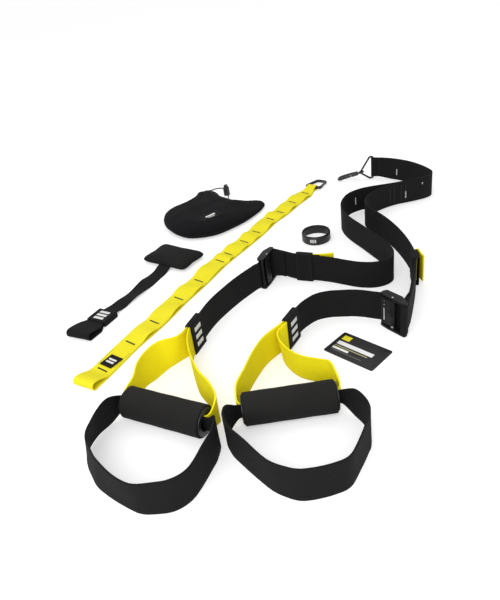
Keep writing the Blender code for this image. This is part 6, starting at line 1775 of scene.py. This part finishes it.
class TRAINER_OT_top_clip(PieceOperator, Operator):
    """Adds the triangular ring, the swivel and the snap hook"""
    bl_idname = "trainer.top_clip"
    bl_label = "Ring, swivel and snap hook"

    def execute(self, context):
        ring, eye, hook = hook_matrices()
        shoulder, blunt = RING_REACH * 0.28, RING_ROD_R * 1.2
        corners = [(0, RING_ROD_R), (shoulder, RING_ROD_R), (RING_REACH, RING_APEX - blunt),
                   (RING_REACH, RING_APEX + blunt), (shoulder, RING_TOP), (0, RING_TOP)]
        outline = resampled(rounded_outline(corners, RING_CORNER, 10), 0.0008, closed=True)
        path = placed(np.insert(outline, 1, 0.0, axis=1), ring)
        add("triangle_ring", [tube_shell(path, RING_ROD_R, 24, True, up=(0.0, 1.0, 0.0))], ["metal"], ["delta_ring"],
            "ring")
        turn = np.linspace(0, 2 * pi, 64, endpoint=False)
        path = np.stack((EYE_R * np.cos(turn), EYE_R * np.sin(turn), 0 * turn), axis=1)
        loop = tube_shell(placed(path, eye), EYE_ROD_R, 20, True, up=np.array(eye)[:3, 2])
        end = BARREL_X + BARREL_LENGTH + GAP + RIVET_HEAD
        corners = [(EYE_R, 0.0004), (EYE_R, SHANK_R), (end - RIVET_HEAD, SHANK_R), (end - RIVET_HEAD, RIVET_R),
                   (end, RIVET_R), (end, 0.0004)]
        shank = revolved_shell(rounded_outline(corners, (0, 0.0002, 0.0002, 0.0004, 0.0006, 0), 4), 32, eye)
        add("swivel", [loop, shank], ["metal"], ["swivel_eye"], "eye")
        base, tip, half = BARREL_LENGTH * 0.15, HOOK_LENGTH - HOOK_ROD_R, HOOK_WIDTH / 2 - HOOK_ROD_R
        corners = [(base, -half * 0.75), (base, half * 0.75), (tip * 0.35, half), (tip, half * 0.85), (tip, -half)]
        radii = [HOOK_ROD_R] * 2 + [HOOK_CORNER] * 3
        shells = clip_frame_shells(corners, HOOK_ROD_R, radii, 0.30, 0.74, hook)
        end = BARREL_LENGTH / 2
        corners = [(-end, BARREL_BORE_R), (end, BARREL_BORE_R), (end, BARREL_R), (-end, BARREL_R)]
        shells.append(revolved_shell(rounded_outline(corners, (0.0003, 0.0003, 0.0009, 0.0009), 5), 40, hook))
        add("hook_frame", shells, ["metal"], ["snap_hook_body"], "hook")
        finished_copy("snap_hook_gate", "hook_gate", "metal", "hook_gate", FINE_BEVEL)
        return {"FINISHED"}


class TRAINER_OT_anchor_strap(PieceOperator, Operator):
    """Adds the lemon anchor strap with its black bar tacks, its patch and its carabiner"""
    bl_idname = "trainer.anchor_strap"
    bl_label = "Anchor strap and carabiner"

    def execute(self, context):
        stitching = context.scene.trainer_stitching
        thread = stitching.thread
        line = smooth_rows(ANCHOR_ROUTE, 12)
        total = distances(line)[-1]
        span = np.linspace(0, total, 420)
        low = side_path(span, ANCHOR_THICK / 2)
        high = side_path(span, anchor_heights(span, total))[::-1]
        far = arc_path(total, ANCHOR_THICK / 2 + ANCHOR_ROD_LOOP, ANCHOR_ROD_LOOP, -90)
        near = arc_path(0.0, ANCHOR_THICK / 2 + ANCHOR_EYE_R, ANCHOR_EYE_R, 90)
        path = np.concatenate((low[:-1], far, high[1:-1], near[:-1]))
        widths = ((total - ANCHOR_WIDTH, ANCHOR_WIDTH), (total - ANCHOR_WIDTH * 0.3, ANCHOR_NECK))

        def ripple(distance, across, height):
            """The upper ply's edges curl: a sine of the distance, opposite on the two edges, nothing at the ends."""
            upper = ramp(height, 1.6 * ANCHOR_THICK + GAP, 3 * ANCHOR_THICK)
            ends = ramp(distance, 0.02, 0.05) * (1 - ramp(distance, total - 0.05, total - 0.02))
            return upper * ends * 0.0016 * np.sin(distance * 74 + 1.3) * across * 2
        shells = [flat_shell(line, path, widths, ANCHOR_THICK, True, ripple)]
        for place in ANCHOR_TACKS:
            top = anchor_heights(np.array(place), total) + ANCHOR_THICK / 2
            centre, along, side = flat_frames(line, np.array([(place, top)]))
            lean = side[0] * cos(TACK_LEAN) + np.array((*along[0], 0.0)) * sin(TACK_LEAN)
            width = float(np.interp(place, *zip(*widths)))
            shells.append(marked(tack_shell(centre[0], lean, np.cross(lean, UP), UP, width * 0.56,
                                            stitching.tack_width, thread), 1))
        for edge in (-1, 1):
            centre, along, side = flat_frames(line, side_path(np.linspace(0.045, 0.085, 9), 2 * ANCHOR_THICK + GAP))
            shells.append(marked(seam_shell(centre + side * edge * 0.0165, UP, stitching.pitch, thread), 1))
        add("lemon_strap", shells, ["lemon_web", "black_thread"], ["anchor_strap"])
        centre, along, side = flat_frames(line, np.array([(PATCH_AT - 0.008, 2 * ANCHOR_THICK + 2 * GAP)]))
        lean = np.array((*along[0], 0.0)) * cos(TACK_LEAN) - side[0] * sin(TACK_LEAN)
        seat = square(centre[0] - side[0] * 0.001, lean, UP)
        half = PATCH_SIDE / 2
        rings = stacked(resampled(rounded_outline(box_corners(half, half), 0.0012, 5), 0.0007, True), PATCH_LEVELS)
        top = seat @ Matrix.Translation((0, 0, PATCH_LEVELS[-1][1]))
        bars = [(shift, 0.0, 0.0019, 0.0082) for shift in (0.0032, -0.0030)]
        shells = [shell(placed(rings, seat), wrapped(rings[..., :2]) * TEXTURE_SCALE, (False, True), caps=True),
                  *woven_label(top, half, half, 0.0018, 0.0022, thread, bars, 0.0003)]
        add("strap_patch", shells, LABEL, ["anchor_patch"])
        length, base_half = CARABINER_LENGTH - 2 * CARABINER_ROD_R, CARABINER_BASE / 2 - CARABINER_ROD_R
        tip_half = CARABINER_TIP / 2 - CARABINER_ROD_R
        corners = [(length, -tip_half), (length, tip_half), (0.0, base_half), (0.0, -base_half)]
        shells = clip_frame_shells(corners, CARABINER_ROD_R, CARABINER_CORNER, 0.26, 0.80, carabiner_matrix(line))
        add("d_carabiner", shells, ["metal"], ["carabiner_body"], "carabiner")
        finished_copy("carabiner_gate", "d_carabiner_gate", "metal", "carabiner_gate", FINE_BEVEL)
        return {"FINISHED"}


class TRAINER_OT_door_anchor(PieceOperator, Operator):
    """Adds the door anchor: pad, strap, sleeve and end loop"""
    bl_idname = "trainer.door_anchor"
    bl_label = "Door anchor"

    def execute(self, context):
        line = smooth_rows(DOOR_ROUTE, 12)
        total = distances(line)[-1]
        middle, into, floor = DOOR_SLEEVE_AT, DOOR_SLEEVE_LENGTH / 2, DOOR_THICK / 2
        lowest = SLEEVE_RISE + GAP + floor
        span = np.linspace(0, middle + into * 0.6, 120)
        height = floor + (PAD_HEIGHT * 0.3 - floor) * (1 - ramp(span, POCKET_DEPTH * 1.2, POCKET_DEPTH * 4))
        height = height + (lowest + DOOR_PITCH - floor) * ramp(span, middle - 2.8 * into, middle - 1.1 * into)

        def ripple(distance, across, height):
            """The strap's edges lift in turn: a sine of the distance that fades towards the pad and the sleeve."""
            middle_part = ramp(distance, 0.04, 0.08) * (1 - ramp(distance, middle - 0.07, middle - 0.03))
            return middle_part * 0.0022 * (1 + np.sin(distance * 62 + 0.4) * across * 2)
        widths = ((0, DOOR_WIDTH),)
        add("door_webbing", [flat_shell(line, side_path(span, height), widths, DOOR_THICK, False, ripple)],
            ["black_web"], ["door_strap"])
        span = np.linspace(middle - into * 0.6, total - DOOR_LOOP_R, 80)
        low = side_path(span, lowest - (lowest - floor) * ramp(span, middle + 1.05 * into, middle + 1.8 * into))
        upper, top = lowest + 2 * DOOR_PITCH, floor + 2 * DOOR_LOOP_R
        opening = ramp(span, middle + 1.05 * into, total - DOOR_LOOP_R)
        high = side_path(span, upper + (top - upper) * opening)[::-1]
        eye = arc_path(total - DOOR_LOOP_R, floor + DOOR_LOOP_R, DOOR_LOOP_R, -90)
        widths = ((middle + into, DOOR_WIDTH + 0.006), (middle + 1.7 * into, DOOR_LOOP_WIDTH + DOOR_SPREAD))
        add("door_eye", [flat_shell(line, np.concatenate((low[:-1], eye, high[1:])), widths, DOOR_THICK)],
            ["black_web"], ["door_loop"])
        i = int(np.argmin(np.abs(distances(line) - middle)))
        step = line[i + 1] - line[i - 1]
        seat = stood(line[i], lowest + DOOR_PITCH, atan2(step[1], step[0]))
        seat = seat @ Matrix.Rotation(pi / 2, 4, "X")
        wide = DOOR_WIDTH + DOOR_SPREAD
        axes = np.array(seat)[:3, :3]
        spot = placed(np.array((0.0, 1.5 * DOOR_PITCH + SLEEVE_RISE, 0.0)), seat)
        bars = [(shift, 0.0, 0.0028, 0.0105) for shift in (-0.0085, 0.0, 0.0085)]
        shells = [web_sleeve(seat, DOOR_SLEEVE_LENGTH, 3 * DOOR_PITCH, wide),
                  *woven_label(square(spot, axes[:, 0], axes[:, 1]), into, wide / 2, 0.0022, EDGE_PITCH,
                               context.scene.trainer_stitching.thread, bars)]
        add("door_label", shells, LABEL, ["door_sleeve"])
        matrix = flat_place(DOOR_PAD, DOOR_PAD_DEG)
        outline = pad_outline(0.003)
        rim = placed(np.column_stack((outline, np.full(len(outline), PAD_HEIGHT * PAD_RIM))), matrix)
        block = add("door_block", [pad_shell(matrix), tube_shell(rim, 0.0010, 10, True)], ["pad"], ["door_pad"],
                    weld=1e-5)
        return {"FINISHED"}


class TRAINER_OT_mesh_bag(PieceOperator, Operator):
    """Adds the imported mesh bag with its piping, hem and sewn label"""
    bl_idname = "trainer.mesh_bag"
    bl_label = "Mesh bag"

    def execute(self, context):
        stitching = context.scene.trainer_stitching
        outline = bag_outline(0.003) + BAG_MIDDLE
        rim = np.column_stack((outline, 0.34 * BAG_HEIGHT * bag_slump(outline[:, 0]))) + OFFSET
        shells = [bag_shell(), marked(tube_shell(rim, 0.0011, 10, True), 1)]
        for line in BAG_SEAMS:
            path = on_bag(resampled(smooth_rows(line, 10), 0.002), 0.0002)
            shells.append(marked(seam_shell(path, UP, stitching.pitch, stitching.thread), 2))
        bag = add("stuff_bag", shells, ["bag", "black_web", "black_thread"], ["bag_body"], weld=1e-6)
        along = heading(BAG_LABEL_DEG)
        middle, normal = np.array(BAG_LABEL), np.array((-along[1], along[0]))
        grid = uv_grid(np.linspace(-0.5, 0.5, 24), np.linspace(-0.5, 0.5, 16))
        spots = middle + grid * BAG_LABEL_SIZE @ np.array((along, normal))
        raised = 1 - np.max(np.abs(2 * grid), axis=-1) ** 16
        top = on_bag(spots.reshape(-1, 2), (0.0003 + 0.0007 * raised).ravel()).reshape(*raised.shape, 3)
        label = shell(top, np.pad(grid * (5.2, 3.0), ((0, 1), (0, 1), (0, 0)), "edge"))
        if np.cross(top[1, 0] - top[0, 0], top[0, 1] - top[0, 0])[2] < 0:
            turn_over(label)
        edge = rounded_outline(box_corners(0.0228, 0.0118), 0.001, 3)
        loop = resampled(middle + np.concatenate((edge, edge[:1])) @ np.array((along, normal)), 0.002)
        shells = [label, marked(seam_shell(on_bag(loop, 0.0011), UP, EDGE_PITCH, stitching.thread), 1)]
        for shift, wide, high in ((0.0015, 0.0145, 0.0032), (-0.0055, 0.0095, 0.0012)):
            spot = middle + normal * shift
            corners = on_bag(np.array([spot, spot + along * 0.01, spot + normal * 0.01]), 0.0009)
            up = np.cross(corners[1] - corners[0], corners[2] - corners[0])
            shells.append(marked(embroidered_bar(square(corners[0], (*along, 0.0), up), wide, high, 0.0004), 2))
        add("bag_tag", shells, LABEL, ["bag_label"])
        return {"FINISHED"}


class TRAINER_OT_band_and_card(PieceOperator, Operator):
    """Adds the moulded wristband and the printed card"""
    bl_idname = "trainer.band_and_card"
    bl_label = "Wristband and card"

    def execute(self, context):
        belly = BAND_WALL * 0.3
        turn = np.linspace(-1, 1, 25)
        bulge, edge = belly * np.abs(turn) ** 3, np.abs(turn) ** 12
        outer = np.stack((BAND_HEIGHT * (0.5 + 0.5 * turn), BAND_R - bulge - 0.0006 * edge), axis=1)
        inside = np.stack((BAND_HEIGHT * (0.5 - 0.5 * turn), BAND_R - BAND_WALL + bulge + 0.0003 * edge), axis=1)
        groove = np.array([(0.0022, BAND_R), (0.0027, BAND_R - 0.0004), (0.0032, BAND_R)])
        upper = (groove * (-1, 1) + (BAND_HEIGHT, 0))[::-1]
        profile = np.concatenate((outer[:3], groove, outer[4:-4], upper, outer[-3:], inside))
        upright = flat_place(BAND, 0.0)
        shells = [revolved_shell(profile, 144, upright @ Matrix.Rotation(-pi / 2, 4, "Y"))]
        for start in BAND_MARKS_DEG:
            a, z = np.meshgrid(np.radians(np.linspace(start - 3.1, start + 3.1, 9)), np.linspace(0.0058, 0.0127, 7),
                               indexing="ij")
            swell = (1 - np.abs(np.linspace(-1, 1, 9))[:, None] ** 8) * (1 - np.abs(np.linspace(-1, 1, 7)) ** 8)
            radius = BAND_R + 0.00018 * swell
            points = np.stack((radius * np.cos(a), radius * np.sin(a), z), axis=-1)
            shells.append(marked(shell(placed(points, upright)), 1))
        add("band", shells, ["rubber", "light_thread"], ["wristband"], weld=1e-6)
        half = np.array(CARD_SIZE) / 2
        rings = stacked(resampled(rounded_outline(box_corners(*half), CARD_CORNER, 8), 0.0012, True), CARD_LEVELS)
        share = rings[..., :2] / CARD_SIZE + 0.5
        share[:3] = 0.99
        card = shell(placed(rings, flat_place(CARD, CARD_DEG)), wrapped(share), (False, True), caps=True)
        add("printed_card", [card], ["card"], ["card"], weld=1e-7)
        return {"FINISHED"}


class TRAINER_OT_small_parts(PieceOperator, Operator):
    """Gives the pins and springs that stay as they are their steel finish"""
    bl_idname = "trainer.small_parts"
    bl_label = "Pins and springs"

    def execute(self, context):
        for node in ("snap_hook_gate_pin", "snap_hook_gate_spring", "carabiner_gate_pin", "carabiner_gate_spring"):
            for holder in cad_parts[node].material_slots:
                holder.material = finish("steel")
        return {"FINISHED"}


# In the order in which they are defined, which is the order of building
OPERATORS = tuple(PieceOperator.__subclasses__())


class TRAINER_PT_panel(Panel):
    """Lists the set's settings and pieces"""
    bl_idname = "TRAINER_PT_panel"
    bl_label = "Suspension trainer"
    bl_space_type = "VIEW_3D"
    bl_region_type = "UI"
    bl_category = "Trainer"

    def draw(self, context):
        for settings in (context.scene.trainer_look, context.scene.trainer_stitching, context.scene.trainer_stage):
            box = self.layout.box()
            for label in settings.bl_rna.properties.keys():
                if label not in ("rna_type", "name"):
                    box.prop(settings, label)
        for operator in OPERATORS:
            self.layout.operator(operator.bl_idname)


CLASSES = (TrainerLook, TrainerStitching, TrainerStage, *OPERATORS, TRAINER_PT_panel)


def register():
    """Registers the classes and hangs the settings on the scene."""
    for item in CLASSES:
        bpy.utils.register_class(item)
    Scene.trainer_look = PointerProperty(type=TrainerLook)
    Scene.trainer_stitching = PointerProperty(type=TrainerStitching)
    Scene.trainer_stage = PointerProperty(type=TrainerStage)


def unregister():
    """Takes the settings and the classes away again."""
    del Scene.trainer_look
    del Scene.trainer_stitching
    del Scene.trainer_stage
    for item in reversed(CLASSES):
        bpy.utils.unregister_class(item)


def main():
    """Builds the stage and every piece in order."""
    register()
    for side in SIDES.values():
        spot = np.array(keeper_matrix(side))[:2, 3] - OFFSET[:2]
        for place, reach in ((side["buckle"], 0.035), (side["sleeve"], 0.020), (side["grip"], 0.060), (spot, 0.020)):
            QUIET_SPOTS.append((*place, reach))
    for operator in OPERATORS:
        group, name = operator.bl_idname.split(".")
        getattr(getattr(bpy.ops, group), name)()


if __name__ == "__main__":
    main()
